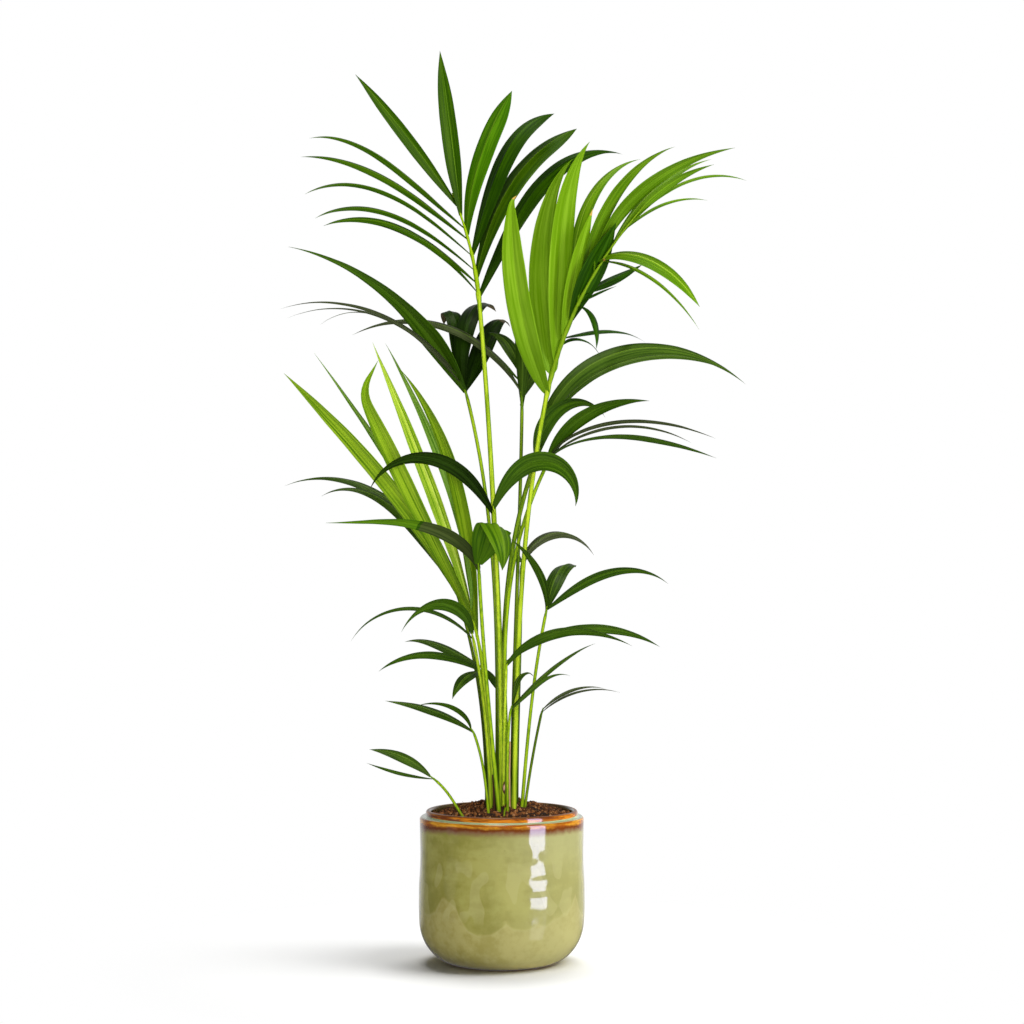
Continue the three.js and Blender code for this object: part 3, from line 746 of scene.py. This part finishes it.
fronds = {
    "top": dict(
        tone="mid", skin="fresh", foot=(4, -2), tip=(-30, 20, 878),
        lean=((-0.03, 0), (-0.09, 0.06)), girth=(12, 5), rib=(-67, 45, 1028), rows=[
            dict(place=(0.08, 0.17, 0.28, 0.41, 0.56, 0.66, 0.88),
                 length=(185, 250, 255, 265, 260, 250, 220), bearing=(214, 195),
                 rise=(47, 37, 37, 39, 37, 40, 53), droop=(43, 61, 68, 71, 44, 55, 8),
                 late=(1.2, 1.8, 1.9, 2.1, 2.1, 3.3, 2.3), width=(18, 21, 22),
                 blunt=(1, 1, 1, 1, 1, 1, 1.4), roll=(42, 48, 34, 30, 40, 36, 66)),
            dict(place=(0.05, 0.22, 0.42, 0.6), length=(345, 275, 245, 210), bearing=(35, 20),
                 rise=(62, 77, 73, 92), droop=(75, 55, 66, 34), late=(2.5, 1.3, 3.3, 0.7),
                 width=(31, 37, 37, 33), widest=0.6, blunt=(1.3, 2.2, 2.4, 1.8), tint=(1, 0, 1, 2),
                 roll=(26, 24, 22, 36)),
            dict(place=0.78, length=225, bearing=165, rise=83, droop=1, width=26, blunt=1.5,
                 roll=44),
        ]),
    "crown": dict(
        tone="bright", skin="leafy", foot=(16, -24), tip=(58, -45, 745),
        lean=((0.02, 0), (0.2, -0.06)), girth=(7, 5), rib=(185, -100, 994), rows=[
            dict(place=0.03, length=273, bearing=230, rise=54, droop=-39, late=0.9,
                 fold=(0.97, -80), width=36, widest=0.4, full=0.75, blunt=1.55, tint=2, dry=0.955,
                 roll=-12),
            dict(place=(0.12, 0.18, 0.29), length=(310, 300, 175), bearing=(300, 310),
                 rise=(105, 87, 76), droop=(87, 59, 17), late=(2.3, 3.8, 2.1), width=(36, 34, 26),
                 widest=(0.36, 0.4, 0.4), full=(0.55, 0.8, 0.8), blunt=(0.85, 1.3, 1.2), tint=2,
                 dry=(1, 1, 0.93), roll=(-26, -8, -8)),
            dict(place=0.37, length=260, bearing=20, rise=88, droop=79, late=2.4, width=24,
                 blunt=1.2, roll=26),
            dict(place=(0.46, 0.62, 0.83), length=(265, 270, 155), bearing=(320, 340),
                 rise=(78, 93, 55), droop=(72, 90, 46), late=(1.6, 0.6, 1.2), width=(23, 23, 17),
                 roll=(-8, -24, -26)),
            dict(place=(0.75, 0.85, 0.9), length=(195, 125, 170), bearing=(20, 0),
                 rise=(61, 44, 46), droop=(47, 57, 69), late=(1.3, 1.4, 1.6), width=(16, 12, 12),
                 blunt=(1.1, 1.4, 1.7), roll=(26, 20, 26)),
            dict(place=0.38, length=140, bearing=332, rise=77, droop=21, late=0.4, width=42,
                 widest=0.5, tint=1, roll=-20),
            dict(place=0.62, length=185, bearing=335, rise=140, droop=178, late=0.28,
                 fold=(0.12, 19), width=25, blunt=1.2, tint=1, tintEnd=0.1, dry=0.13, roll=36),
            dict(place=(0.29, 0.51, 0.68), length=(180, 125, 170), bearing=(50, 45, 20),
                 rise=(12, 22, 11), droop=(33, 0, 68), late=(2.1, 1, 0.6), width=(12, 18, 12),
                 tint=(1, 1, 0), dry=(1, 1, 0.16), roll=(26, 26, 40)),
            dict(place=0.44, length=75, bearing=330, rise=88, droop=192, late=0.3, width=16, tint=1,
                 roll=6),
            dict(place=0.25, length=85, bearing=40, rise=42, droop=105, width=9, tint=1,
                 roll=30),
            dict(place=0.46, length=58, bearing=15, rise=34, droop=18, width=9, tint=1,
                 roll=20),
        ]),
    "back": dict(
        skin="dull", foot=(14, 26), tip=(27, 36, 731), lean=((0, 0), (0.015, 0.02)),
        girth=(6, 4), rib=(24, 44, 787), rows=[
            dict(place=0.5, length=270, bearing=176, rise=62, droop=91, late=1.1, width=20, tint=2,
                 roll=32),
            dict(place=0.75, length=100, bearing=160, rise=49, droop=19, late=1.6, width=16,
                 roll=8),
            dict(place=1, length=85, bearing=140, rise=73, droop=72, late=1.5, width=20, roll=32),
            dict(place=0.2, length=190, bearing=100, rise=94, droop=70, late=2.5, width=24,
                 roll=35),
            dict(place=0.35, length=130, bearing=65, rise=46, droop=30, late=2, width=18, roll=20),
        ]),
    "right": dict(
        skin="dull", foot=(7, 14), tip=(43, 8, 661), lean=((-0.03, 0), (0.35, -0.02)),
        girth=(7, 5), rib=(52, 8, 685), rows=[
            dict(place=0.9, length=380, bearing=18, rise=93, droop=132, late=0.75, width=28,
                 blunt=0.8, roll=50),
            dict(place=0.7, length=320, bearing=9, rise=79, droop=104, late=0.88, width=17,
                 widest=0.6, roll=26),
            dict(place=0.3, length=155, bearing=335, rise=85, droop=146, late=1.5, width=26,
                 widest=0.35, roll=-38),
        ]),
    "reach": dict(
        skin="plain", foot=(11, -12), tip=(57, -28, 655),
        lean=((-0.03, 0), (0.48, -0.05)), girth=(6, 4), rib=(66, -33, 676), rows=[
            dict(place=0.3, length=185, bearing=330, rise=78, droop=85, late=0.7, width=24,
                 roll=-32),
            dict(place=(0.9, 0.8, 0.6), length=(240, 200, 265), bearing=(340, 350, 325),
                 rise=(63, 43, 69), droop=(87, 74, 90), late=(0.5, 0.95, 0.3), width=(11, 11, 16),
                 widest=(0.45, 0.45, 0.62), blunt=(1.4, 1.4, 1), tint=(2, 2, 0),
                 roll=(-24, -18, -6), twist=(0, 0, -24)),
        ]),
    "left": dict(
        skin="plain", foot=(-6, 14), tip=(-46, 54, 749),
        lean=((0, 0.02), (-0.25, 0.1)), girth=(6, 4), rib=(-54, 60, 776), rows=[
            dict(place=0.4, length=320, bearing=196, rise=62, droop=53, late=1.2, width=32,
                 widest=0.28, blunt=0.45, roll=-46),
            dict(place=(1, 0.85, 0.7), length=(290, 295, 265), bearing=(203, 218),
                 rise=(49, 50, 43), droop=(69, 74, 78), late=(1.3, 1.2, 2), width=(13, 11, 10),
                 widest=0.35, blunt=1.3, tint=2, roll=(-12, -6, 0)),
            dict(place=(0.9, 0.7, 0.5), length=(148, 210, 170), bearing=(114, 68, 60),
                 rise=(79, 122, 54), droop=(184, 148, 106), late=(4, 0.9, 4.9), width=(25, 29, 30),
                 blunt=(2.6, 1.3, 1.2), tint=(1, 1, 1), dry=(0.84, 0.86, 0.8), roll=(4, 2, 18)),
        ]),
    "middle": dict(
        skin="fresh", foot=(-1, -16), tip=(-10, -70, 588),
        lean=((0, -0.05), (-0.06, -0.2)), girth=(6, 4), rib=(-11, -74, 606), rows=[
            dict(place=0.4, length=220, bearing=200, rise=61, droop=132, late=1.5, width=25, tint=1,
                 roll=-40),
            dict(place=0.8, length=190, bearing=330, rise=64, droop=173, late=1.6, width=25,
                 widest=0.5, blunt=1.2, roll=-48, twist=-36),
        ]),
    "front": dict(
        tone="lively", foot=(-2, -38), tip=(-29, -80, 516), lean=((-0.1, -0.02), (-0.05, -0.15)),
        girth=(6, 4), rib=(-30, -83, 532), rows=[
            dict(place=0.3, length=255, bearing=215, rise=109, droop=128, late=0.32, lift=20,
                 width=18, widest=0.3, full=0.8, blunt=0.7, tint=2, tintEnd=0.46, roll=-56,
                 twist=8),
            dict(place=0.9, length=140, bearing=300, rise=55, droop=97, late=2.9, fold=(0.5, 84),
                 width=50, blunt=1.2, roll=-16),
        ]),
    "fan": dict(
        tone="striped", skin="fresh", foot=(-10, -8), tip=(-23, -22, 377),
        lean=((-0.03, -0.02), (-0.1, -0.08)), girth=(8, 6), rib=(-42, -34, 470), rows=[
            dict(place=(0.6, 0.7, 0.9, 1), length=(375, 425, 385, 410),
                 bearing=(208, 196, 175, 160), rise=(86, 79, 83, 76), droop=(40, 37, 17, 25),
                 late=(1.9, 0.4, 0.3, 0.3), width=(24, 27, 24, 14), blunt=(1.1, 1.5, 1, 0.9),
                 tint=(0, 0, 2, 1), roll=(-24, -40, 40, 24)),
            dict(place=0.8, length=390, bearing=215, rise=60, droop=0, fold=(0.88, -60),
                 width=26, widest=0.6, roll=-28),
            dict(place=0.95, length=390, bearing=150, rise=115, droop=59, late=0.3, width=18,
                 tint=1, roll=14),
        ]),
    "low_left": dict(
        skin="fresh", foot=(-14, -24), tip=(-36, -50, 426),
        lean=((-0.03, 0), (-0.2, -0.1)), girth=(5, 3.5), rib=(-39, -52, 440), rows=[
            dict(place=0.9, length=145, bearing=215, rise=87, droop=151, late=0.8, width=22,
                 roll=-44),
            dict(place=0.4, length=190, bearing=190, rise=49, droop=110, late=1.2, width=18,
                 roll=-18),
        ]),
    "back_left": dict(
        skin="dull", foot=(-20, 16), tip=(-62, 60, 492),
        lean=((0, 0.05), (-0.33, 0.1)), girth=(5, 3.5), rib=(-70, 63, 512), rows=[
            dict(place=0.9, length=305, bearing=160, rise=59, droop=82, late=1.5, width=20,
                 roll=24),
            dict(place=0.4, length=240, bearing=175, rise=55, droop=91, late=3, width=20, roll=32),
        ]),
    "low_back": dict(
        skin="dull", foot=(-12, 4), tip=(-24, 20, 377),
        lean=((-0.02, 0.02), (-0.12, 0.05)), girth=(5, 3.5), rib=(-26, 21, 391), rows=[
            dict(place=(0.9, 0.5), length=(115, 150), bearing=(170, 185), rise=(28, 31),
                 droop=(49, 72), late=(3.5, 1.35), width=18, roll=(30, -38)),
            dict(place=(0.6, 0.8), length=(90, 45), bearing=(240, 40), rise=(0, 20), droop=(62, 91),
                 late=(1.7, 0.3), width=(18, 14), roll=(18, -12)),
        ]),
    "low_front": dict(
        foot=(-16, -36), tip=(-35, -44, 304), lean=((-0.1, 0), (-0.35, -0.05)),
        girth=(4, 3), rib=(-41, -46, 315), rows=[
            dict(place=(0.4, 0.9), length=(125, 95), bearing=(176, 205), rise=(43, 90),
                 droop=(38, 108), late=0.6, width=16, roll=(32, -16)),
        ]),
    "edge": dict(
        foot=(-42, -42), tip=(-83, -55, 244), lean=((-0.85, -0.2), (-1.05, -0.2)),
        girth=(4, 3), rib=(-94, -57, 253), rows=[
            dict(place=(0.9, 0.5), length=(90, 95), bearing=(175, 200), rise=(48, 10),
                 droop=(47, -9), late=0.9, width=(18, 14), roll=(38, -20)),
        ]),
    "right_low": dict(
        foot=(26, -14), tip=(57, -50, 460), lean=((0.08, -0.02), (0.2, -0.12)),
        girth=(5, 3.5), rib=(60, -52, 475), rows=[
            dict(place=0.5, length=120, bearing=215, rise=113, droop=86, late=0.6, width=20,
                 roll=0),
            dict(place=0.9, length=105, bearing=60, rise=66, droop=97, late=1.9, width=28,
                 blunt=2.2, roll=0),
            dict(place=0.7, length=185, bearing=340, rise=38, droop=80, late=2, width=20, roll=-32),
        ]),
    "front_right": dict(
        skin="scarred", foot=(2, -27), tip=(6, -78, 392),
        lean=((0, -0.05), (0.03, -0.2)), girth=(5, 3.5), rib=(8, -81, 406), rows=[
            dict(place=(0.5, 0.9), length=(210, 215), bearing=(325, 350), rise=(53, 41),
                 droop=(79, 74), late=(0.8, 1.1), width=(22, 24), widest=0.55, roll=(-30, -34)),
        ]),
    "small_right": dict(
        foot=(8, -38), tip=(11, -62, 333), lean=((0, -0.02), (0.1, -0.12)),
        girth=(4, 3), rib=(14, -64, 346), rows=[
            dict(place=(0.8, 0.5, 0.9), length=(140, 100, 65), bearing=(12, 340, 30),
                 rise=(45, 46, 82), droop=(27, 69, 150), late=(2, 3, 3), width=(11, 13, 13),
                 blunt=(1, 1, 2.4), roll=(20, -20, 4)),
        ]),
    "low_right": dict(
        foot=(30, 2), tip=(52, 20, 324), lean=((0.12, 0.02), (0.22, 0.05)),
        girth=(4, 3), rib=(56, 21, 336), rows=[
            dict(place=(0.9, 0.5), length=(110, 115), bearing=(32, 348), rise=(38, 44),
                 droop=(58, 62), late=(1.2, 1.1), width=10, tint=2, roll=(12, -18)),
        ]),
    "back_right": dict(
        skin="dull", foot=(20, 12), tip=(26, 60, 516), lean=((0, 0.05), (0, 0.1)),
        girth=(5, 3.5), rib=(27, 62, 532), rows=[
            dict(place=0.5, length=150, bearing=32, rise=72, droop=131, width=22,
                 widest=0.55, blunt=1.6, tint=2, roll=24),
            dict(place=0.9, length=80, bearing=125, rise=33, droop=20, late=1.8, width=20, roll=6),
        ]),
}
husks = {
    "husk_right": dict(skin="tan", foot=(10, -31), tip=(11, -34, 296),
                       lean=((0, 0), (0.02, -0.05)), girth=(5, 2)),
    "husk_left": dict(skin="brown", foot=(-9, -33), tip=(-12, -34, 252),
                      lean=((-0.02, 0), (-0.1, 0)), girth=(7, 2)),
    "bud": dict(skin="fresh", foot=(3, -46), tip=(5, -48, 210), lean=((0, 0), (0.3, -0.1)),
                girth=(5, 2)),
}
stem = dict(
    socket=8, gap=0.3, ribTipGirth=1.6, huskRipple=2,
    curveSteps=80, steps=44, ribSteps=26, sides=18,
    fuller=1.2,  # a frond's stalk against the girth at its tip
    channel=0.16, channelWide=0.5,  # depth and half angle of the channel along the upper face
    knuckle=0.35, knuckleLength=0.022,  # the swelling at each leaflet
)
leaf = dict(
    steps=56, widest=0.45, baseWidth=0.2, sharpBend=0.12, twistFrom=0.1, twistTo=0.6,
    dryTip=0.985, dryBand=0.014,  # where a tip is dry by default, and half the length of a band
    tipWidth=1.1, pointWidth=0.3, pointLength=0.04,  # least width, and its last taper
    keel=0.11, pleats=5, pleatDepth=0.018, sheetThickness=0.035, edgeShare=0.97,
    ribHeight=0.03, ribShare=0.06, ripple=0.9,
)
rippleScale = 24.0


def stalkPoints(stalk):
    start = Vector((*stalk["foot"], soilHeight(*stalk["foot"]) - stem["socket"]))
    end = Vector(stalk["tip"])
    third = (end.z - start.z) / 3
    rising, arriving = (Vector((*lean, 1)) * third for lean in stalk["lean"])
    return [start * (1 - s) ** 3 + (start + rising) * 3 * s * (1 - s) ** 2
            + (end - arriving) * 3 * s * s * (1 - s) + end * s ** 3
            for s in shares(stem["curveSteps"])]


def ribPoints(frond):
    onward = Vector((*frond["lean"][1], 1)).normalized()
    start = Vector(frond["tip"]) + onward * stem["gap"]
    end = Vector(frond["rib"])
    bend = start + onward * ((end - start).length / 2)
    return [start * (1 - s) ** 2 + bend * 2 * s * (1 - s) + end * s * s
            for s in shares(stem["curveSteps"])]


def leafWidth(spec, share):
    widest = spec.get("widest", leaf["widest"])
    if share < widest:
        swell = math.sin(math.pi / 2 * (share / widest) ** spec.get("full", 1))
        return leaf["baseWidth"] + (1 - leaf["baseWidth"]) * swell
    return math.cos(math.pi / 2 * ((share - widest) / (1 - widest)) ** spec.get("blunt", 1))


def leafHeading(spec, share):
    place, turn = spec.get("fold", (0, 0))
    slope = spec["rise"] - spec["droop"] * share ** spec.get("late", 1)
    slope += spec.get("lift", 0) * share ** 4
    slope -= turn * smoothstep(share, place - leaf["sharpBend"] / 2, place + leaf["sharpBend"] / 2)
    slope, bearing = math.radians(slope), math.radians(spec["bearing"])
    level = math.cos(slope)
    return Vector((math.cos(bearing) * level, math.sin(bearing) * level, math.sin(slope)))


def leafPath(base, spec, number):
    bearing = math.radians(spec["bearing"])
    level = Vector((-math.sin(bearing), math.cos(bearing), 0))
    side = -1 if math.cos(bearing) < 0 else 1
    dry = spec.get("dry", leaf["dryTip"])
    path = dict(points=[], side=[], half=[], along=[], dry=[], seed=[], tint=[])
    point, pace = base.copy(), spec["length"] / leaf["steps"]
    for share in shares(leaf["steps"]):
        twist = spec.get("twist", 0) * smoothstep(share, leaf["twistFrom"], leaf["twistTo"])
        roll = math.radians(spec["roll"] + twist) * side
        least = leaf["tipWidth"] * min(1, leaf["pointWidth"] + (1 - share) / leaf["pointLength"])
        isDry = share > dry if dry > 0.5 else abs(share - dry) < leaf["dryBand"]
        path["points"].append(point * mm)
        path["side"].append(Matrix.Rotation(roll, 3, leafHeading(spec, share)) @ level)
        path["half"].append(max(spec["width"] * leafWidth(spec, share), least) / 2 * mm)
        path["along"].append(share)
        path["dry"].append(float(isDry))
        path["seed"].append(number)
        path["tint"].append(spec.get("tint", 0) if share <= spec.get("tintEnd", 1) else 0)
        point = point + leafHeading(spec, share + 0.5 / leaf["steps"]) * pace
    return path


# each row's values for each of its leaflets
def leafSpecs(rows):
    for row in rows:
        count = len(row["place"]) if isinstance(row["place"], tuple) else 1
        for index in range(count):
            share = index / max(1, count - 1)
            yield {key: value if key == "fold" else spread(value, share)
                   for key, value in row.items()}


def leafPaths(frond):
    rib = ribPoints(frond)
    return [leafPath(pointsAt(rib, [spec["place"]])[0], spec, number)
            for number, spec in enumerate(leafSpecs(frond["rows"]))]


def sweptPath(points, halves):
    path = dict(points=[], side=[], half=[], along=[])
    for index, point in enumerate(points):
        ahead = points[min(index + 1, len(points) - 1)] - points[max(index - 1, 0)]
        path["points"].append(point * mm)
        path["side"].append(Vector((0, 1, 0)).cross(ahead).normalized())
        path["half"].append(halves[index] * mm)
        path["along"].append(index / (len(points) - 1))
    return path


def stalkPath(stalk, fuller=1):
    foot, tip = stalk["girth"][0], stalk["girth"][1] * fuller
    points = pointsAt(stalkPoints(stalk), shares(stem["steps"]))
    return points, [(tip + (foot - tip) * (1 - share) ** 2) / 2 for share in shares(stem["steps"])]


# a stalk and the rib that it turns into, as one path
def stemPath(frond):
    lower, halves = stalkPath(frond, stem["fuller"])
    upper = pointsAt(ribPoints(frond), shares(stem["ribSteps"]))
    start, end = halves[-1] * 2, stem["ribTipGirth"]
    places = [spec["place"] for spec in leafSpecs(frond["rows"])]
    for share in shares(stem["ribSteps"]):
        swell = sum(math.exp(-((share - place) / stem["knuckleLength"]) ** 2) for place in places)
        halves.append((start + (end - start) * share) / 2 * (1 + stem["knuckle"] * min(1, swell)))
    return sweptPath(lower + upper, halves)


# the section of a leaflet, from one edge over the midrib to the other and back beneath
def leafSection():
    edge, ridge = leaf["edgeShare"], leaf["ribShare"]
    pleats = [edge * (1 - share * (1 - ridge)) for share in shares(leaf["pleats"])]
    across = [1, *pleats, 0, *(-x for x in reversed(pleats)), -1]

    def height(x):
        swell = leaf["pleatDepth"] * math.cos(abs(x) * math.pi * leaf["pleats"])
        return swell - 2 * leaf["keel"] * abs(x) + (leaf["ribHeight"] if abs(x) < ridge else 0)
    top = [(x, height(x)) for x in across]
    beneath = [(x, height(x) - leaf["sheetThickness"]) for x in reversed(across[1:-1])]
    path = dict(points=[Vector((x, y, 0)) for x, y in top + beneath])
    path["across"] = [x for x, _ in top + beneath]
    path["under"] = [0] * len(top) + [1] * len(beneath)
    return pathObject("leafSection", [path], closed=True)


# a round section with a shallow channel along its upper face
def stemSection():
    points = []
    for share in shares(stem["sides"])[:-1]:
        turn = 2 * math.pi * share
        away = (turn + math.pi / 2) % (2 * math.pi) - math.pi
        reach = 1 - stem["channel"] * math.exp(-(away / stem["channelWide"]) ** 2)
        points.append(Vector((reach * math.cos(turn), reach * math.sin(turn), 0)))
    path = dict(points=points, across=[point.x for point in points])
    return pathObject("stemSection", [path], closed=True)


# sweeps a section along each path, and gives the parts of a blade their own materials
def sweepGroup(name, kinds):
    group, tree, given = newGroup(name, (
        ("Section", "Object"), ("Ripple", "Float"), *((kind, "Material") for kind in kinds)))

    def read(label, kind="FLOAT"):
        return tree.node("GeometryNodeInputNamedAttribute", {"data_type": kind}, {"Name": label})
    path = tree.node("GeometryNodeMeshToCurve", None, {"Mesh": given["Geometry"]})
    path = tree.node("GeometryNodeSetCurveNormal", {"mode": "FREE"}, {
        "Curve": path, "Normal": read("side", "FLOAT_VECTOR")})
    section = tree.node("GeometryNodeObjectInfo", None, {"Object": given["Section"]}, "Geometry")
    section = tree.node("GeometryNodeMeshToCurve", None, {"Mesh": section})
    swept = tree.node("GeometryNodeCurveToMesh", None, {
        "Curve": path, "Profile Curve": section, "Scale": read("half"), "Fill Caps": True})
    wave = {"Vector": tree.node("GeometryNodeInputPosition"), "Scale": rippleScale, "Detail": 1.0}
    wave = tree.node("ShaderNodeTexNoise", None, wave, "Color")
    wave = tree.vectorMath("SUBTRACT", wave, (0.5, 0.5, 0.5))
    wave = tree.vectorMath("SCALE", wave, given["Ripple"])
    shape = tree.node("GeometryNodeSetPosition", None, {"Geometry": swept, "Offset": wave})
    shape = tree.node("GeometryNodeSetShadeSmooth", None, {"Geometry": shape, "Shade Smooth": True})
    shape = tree.node("GeometryNodeRealizeInstances", None, {"Geometry": shape})
    for kind, chosen in kinds.items():
        values = {"Geometry": shape, "Material": given[kind]}
        if chosen:
            values["Selection"] = chosen(read)
        shape = tree.node("GeometryNodeSetMaterial", None, values)
    tree.node("NodeGroupOutput", None, {"Geometry": shape})
    return group


# which faces of a leaflet take each material, each over the one before it
bladeParts = {
    "Blade": None,
    "Underside": lambda read: read("under") > 0.4,
    "Sunlit": lambda read: abs(read("tint") - 2) < 0.5,
    "Midrib": lambda read: (abs(read("across")) < 0.05) * (read("under") < 0.4),
    "Shaded": lambda read: abs(read("tint") - 1) < 0.5,
    "Dry": lambda read: read("dry") > 0.5,
}
# shine is how much of the light each kind of leaf mirrors, sheen its colour, and lines how clear
# the pale lines are
tones = {
    "dark": dict(
        Blade=((36, 64, 4), (72, 102, 22)), Shaded=((14, 34, 1), (38, 66, 5)),
        Sunlit=((50, 62, 30), (86, 96, 58)), Underside=((42, 76, 3), (72, 108, 14)),
        Midrib=((70, 102, 12), (98, 128, 34)), Dry=((66, 58, 38), (104, 92, 62)), shine=0.17,
        sheen=(1, 1, 0.7), lines=0.35),
    "mid": dict(
        Blade=((34, 68, 1), (62, 96, 2)), Shaded=((24, 56, 1), (50, 87, 2)),
        Sunlit=((52, 98, 1), (80, 128, 8)), Underside=((50, 80, 3), (72, 100, 14)),
        Midrib=((66, 102, 8), (90, 124, 22)), Dry=((84, 78, 44), (124, 112, 76)), shine=0.09,
        sheen=(0.9, 1, 0.5), lines=0.3),
    "lively": dict(
        Blade=((44, 82, 2), (88, 124, 12)), Shaded=((20, 54, 1), (46, 84, 2)),
        Sunlit=((42, 58, 20), (70, 84, 38)), Underside=((50, 92, 2), (84, 124, 8)),
        Midrib=((76, 112, 8), (106, 140, 24)), Dry=((84, 78, 44), (124, 112, 76)), shine=0.14,
        sheen=(0.9, 1, 0.5), lines=0.6),
    "bright": dict(
        Blade=((74, 118, 3), (112, 154, 16)), Shaded=((22, 58, 1), (48, 88, 5)),
        Sunlit=((104, 148, 8), (132, 174, 34)), Underside=((76, 118, 6), (106, 146, 22)),
        Midrib=((116, 158, 22), (152, 184, 56)), Dry=((176, 136, 50), (214, 184, 92)), shine=0.14,
        sheen=(0.85, 1, 0.5), lines=0.35),
    "striped": dict(
        Blade=((80, 124, 1), (152, 188, 34)), Shaded=((62, 108, 8), (122, 158, 60)),
        Sunlit=((100, 146, 1), (180, 206, 60)), Underside=((78, 122, 1), (150, 184, 34)),
        Midrib=((170, 196, 60), (204, 218, 108)), Dry=((120, 110, 50), (160, 146, 84)), shine=0.15,
        sheen=(0.9, 1, 0.5), lines=0.7),
}


def bladeLook(deep, light, parts):
    def look(tree):
        across, along, seed = (tree.attribute(name) for name in ("across", "along", "seed"))

        # grain drawn out along the leaflet, and different on each one
        def grain(wide, long, shift, detail):
            return tree.grain(tree.vector(across * wide, along * long, seed * shift), 1, detail)
        streak = grain(5.5, 2.2, 3.7, 2)
        vein = grain(12, 1.6, 5.3, 1)
        pleat = grain(2.8, 1.4, 2.1, 0)
        line = grain(24, 1.1, 4.3, 1)
        cloud = tree.grain(tree.place(), 14, 2)
        share = tree.step(streak * 0.5 + vein * 0.2 + cloud * 0.2 - abs(across) * 0.1, 0.34, 0.5)
        blade = tree.layers(
            paint(*deep),
            (share, paint(*light)),
            (tree.step(line, 0.5, 0.6) * parts["lines"], paint(*light)),
            # paler margins: a painted highlight along the edges of each leaflet
            (tree.step(abs(across), 0.88, 0.97) * 0.35, paint(*light)),
            # darker over the half of each leaflet nearest the rib: painted shade
            (tree.step(along, 0.5, 0.05) * 0.42, paint(*(part * 0.75 for part in deep))))
        return {
            "Base Color": blade,
            "Roughness": cloud * 0.12 + 0.36,
            "Specular IOR Level": parts["shine"],
            "Specular Tint": (*parts["sheen"], 1),
            "Normal": tree.bump(pleat * tree.attribute("half") * 80, 0.25, 0.0010),
        }
    return look


# colours of a stalk: deep and light stripes, the painted shade on the foot of the ones at the back,
# and the rib
stemTones = {
    "fresh": ((116, 152, 6), (190, 212, 50), (52, 84, 8), (142, 176, 6)),
    "leafy": ((116, 152, 6), (190, 212, 50), (52, 84, 8), (86, 126, 10)),
    "plain": ((92, 132, 5), (160, 190, 30), (44, 72, 8), (100, 138, 10)),
    "dull": ((66, 98, 6), (124, 154, 30), (34, 52, 8), (70, 104, 10)),
    "tan": ((128, 84, 54), (214, 176, 138), (96, 62, 40), (196, 158, 120)),
    "brown": ((28, 14, 8), (88, 58, 42), (26, 14, 8), (80, 52, 36)),
}
# an old wound on one stalk: its middle in metres, and what makes a metre across and up its unit
scar = dict(place=(0.0034, 0, 0.235), scale=(400, 0, 120), bark=(70, 40, 22), wood=(206, 168, 134))
soiled = (84, 62, 34)


def stemLook(deep, light, low, rib, isScarred=False):
    def look(tree):
        place = tree.place()
        height = tree.axis(place, "Z")
        streak = tree.grain(tree.place((900, 900, 5)), 1, 2)
        cloud = tree.grain(tree.place((30, 30, 12)), 1, 2)
        # darker towards both flanks of the stalk: painted shade on its sides
        edge = tree.step(abs(tree.attribute("across")), 0.35, 1)
        share = tree.step(streak * 0.6 + cloud * 0.4 - edge * 0.22, 0.28, 0.6)
        ribStart = (stem["steps"] + 1) / (stem["steps"] + stem["ribSteps"] + 1)
        isRib = tree.step(tree.attribute("along"), ribStart, ribStart + 0.05)
        # the stalks at the back get painted shade towards their foot
        backShade = tree.step(tree.axis(place, "Y"), -0.006, 0.012)
        skin = tree.layers(
            paint(*deep),
            (share, paint(*light)),
            (isRib * 0.75, paint(*rib)),
            (backShade * tree.step(height, 0.52, 0.3) * 0.8, paint(*low)))
        if isScarred:
            spot = tree.vectorMath("SUBTRACT", place, scar["place"])
            spot = tree.vectorMath("MULTIPLY", spot, scar["scale"])
            away = tree.vectorMath("LENGTH", spot) + streak * 0.8
            bark = tree.mix(tree.step(away, 1.1, 0.7), paint(*scar["bark"]), paint(*scar["wood"]))
            skin = tree.mix(tree.step(away, 1.5, 1.3), skin, bark)
        isLow = tree.step(height + streak * 0.02, 0.222, 0.208)
        return {
            "Base Color": tree.mix(isLow * 0.5, skin, paint(*soiled)),
            "Roughness": streak * 0.15 + 0.3,
            "Specular IOR Level": 0.15,
            "Specular Tint": (0.9, 1, 0.5, 1),
            "Normal": tree.bump(streak, 0.2, 0.0004),
        }
    return look


def makeStems():
    group = sweepGroup("stem", {"Skin": None})
    section = stemSection()
    skins = {name: newMaterial(name + "Stalk", stemLook(*tone)) for name, tone in stemTones.items()}
    skins["scarred"] = newMaterial("scarredStalk", stemLook(*stemTones["fresh"], isScarred=True))

    def make(name, path, skin, ripple, node):
        piece = grow(name, pathObject(name, [path]), group, {
            "Section": section, "Ripple": ripple * mm, "Skin": skins[skin]})
        rideAndReplace(piece, node)
    for name, frond in fronds.items():
        make("stem_" + name, stemPath(frond), frond.get("skin", "plain"), 0, "stalk_" + name)
    for name, husk in husks.items():
        make("thin_" + name, sweptPath(*stalkPath(husk)), husk["skin"], stem["huskRipple"], name)
    bpy.data.objects.remove(section)


def makeFronds():
    group = sweepGroup("leaflet", bladeParts)
    section = leafSection()
    materials = {
        tone: {kind: newMaterial(tone + kind, bladeLook(*parts[kind], parts))
               for kind in bladeParts}
        for tone, parts in tones.items()}
    for name, frond in fronds.items():
        kinds = materials[frond.get("tone", "dark")]
        piece = grow("leaflets_" + name, pathObject(name, leafPaths(frond)), group, {
            "Section": section, "Ripple": leaf["ripple"] * mm, **kinds})
        rideAndReplace(piece, "frond_" + name)
    bpy.data.objects.remove(section)


makeStems()
print("stalks ready")
makeFronds()
print("fronds ready")
addLights()
print("lights ready")
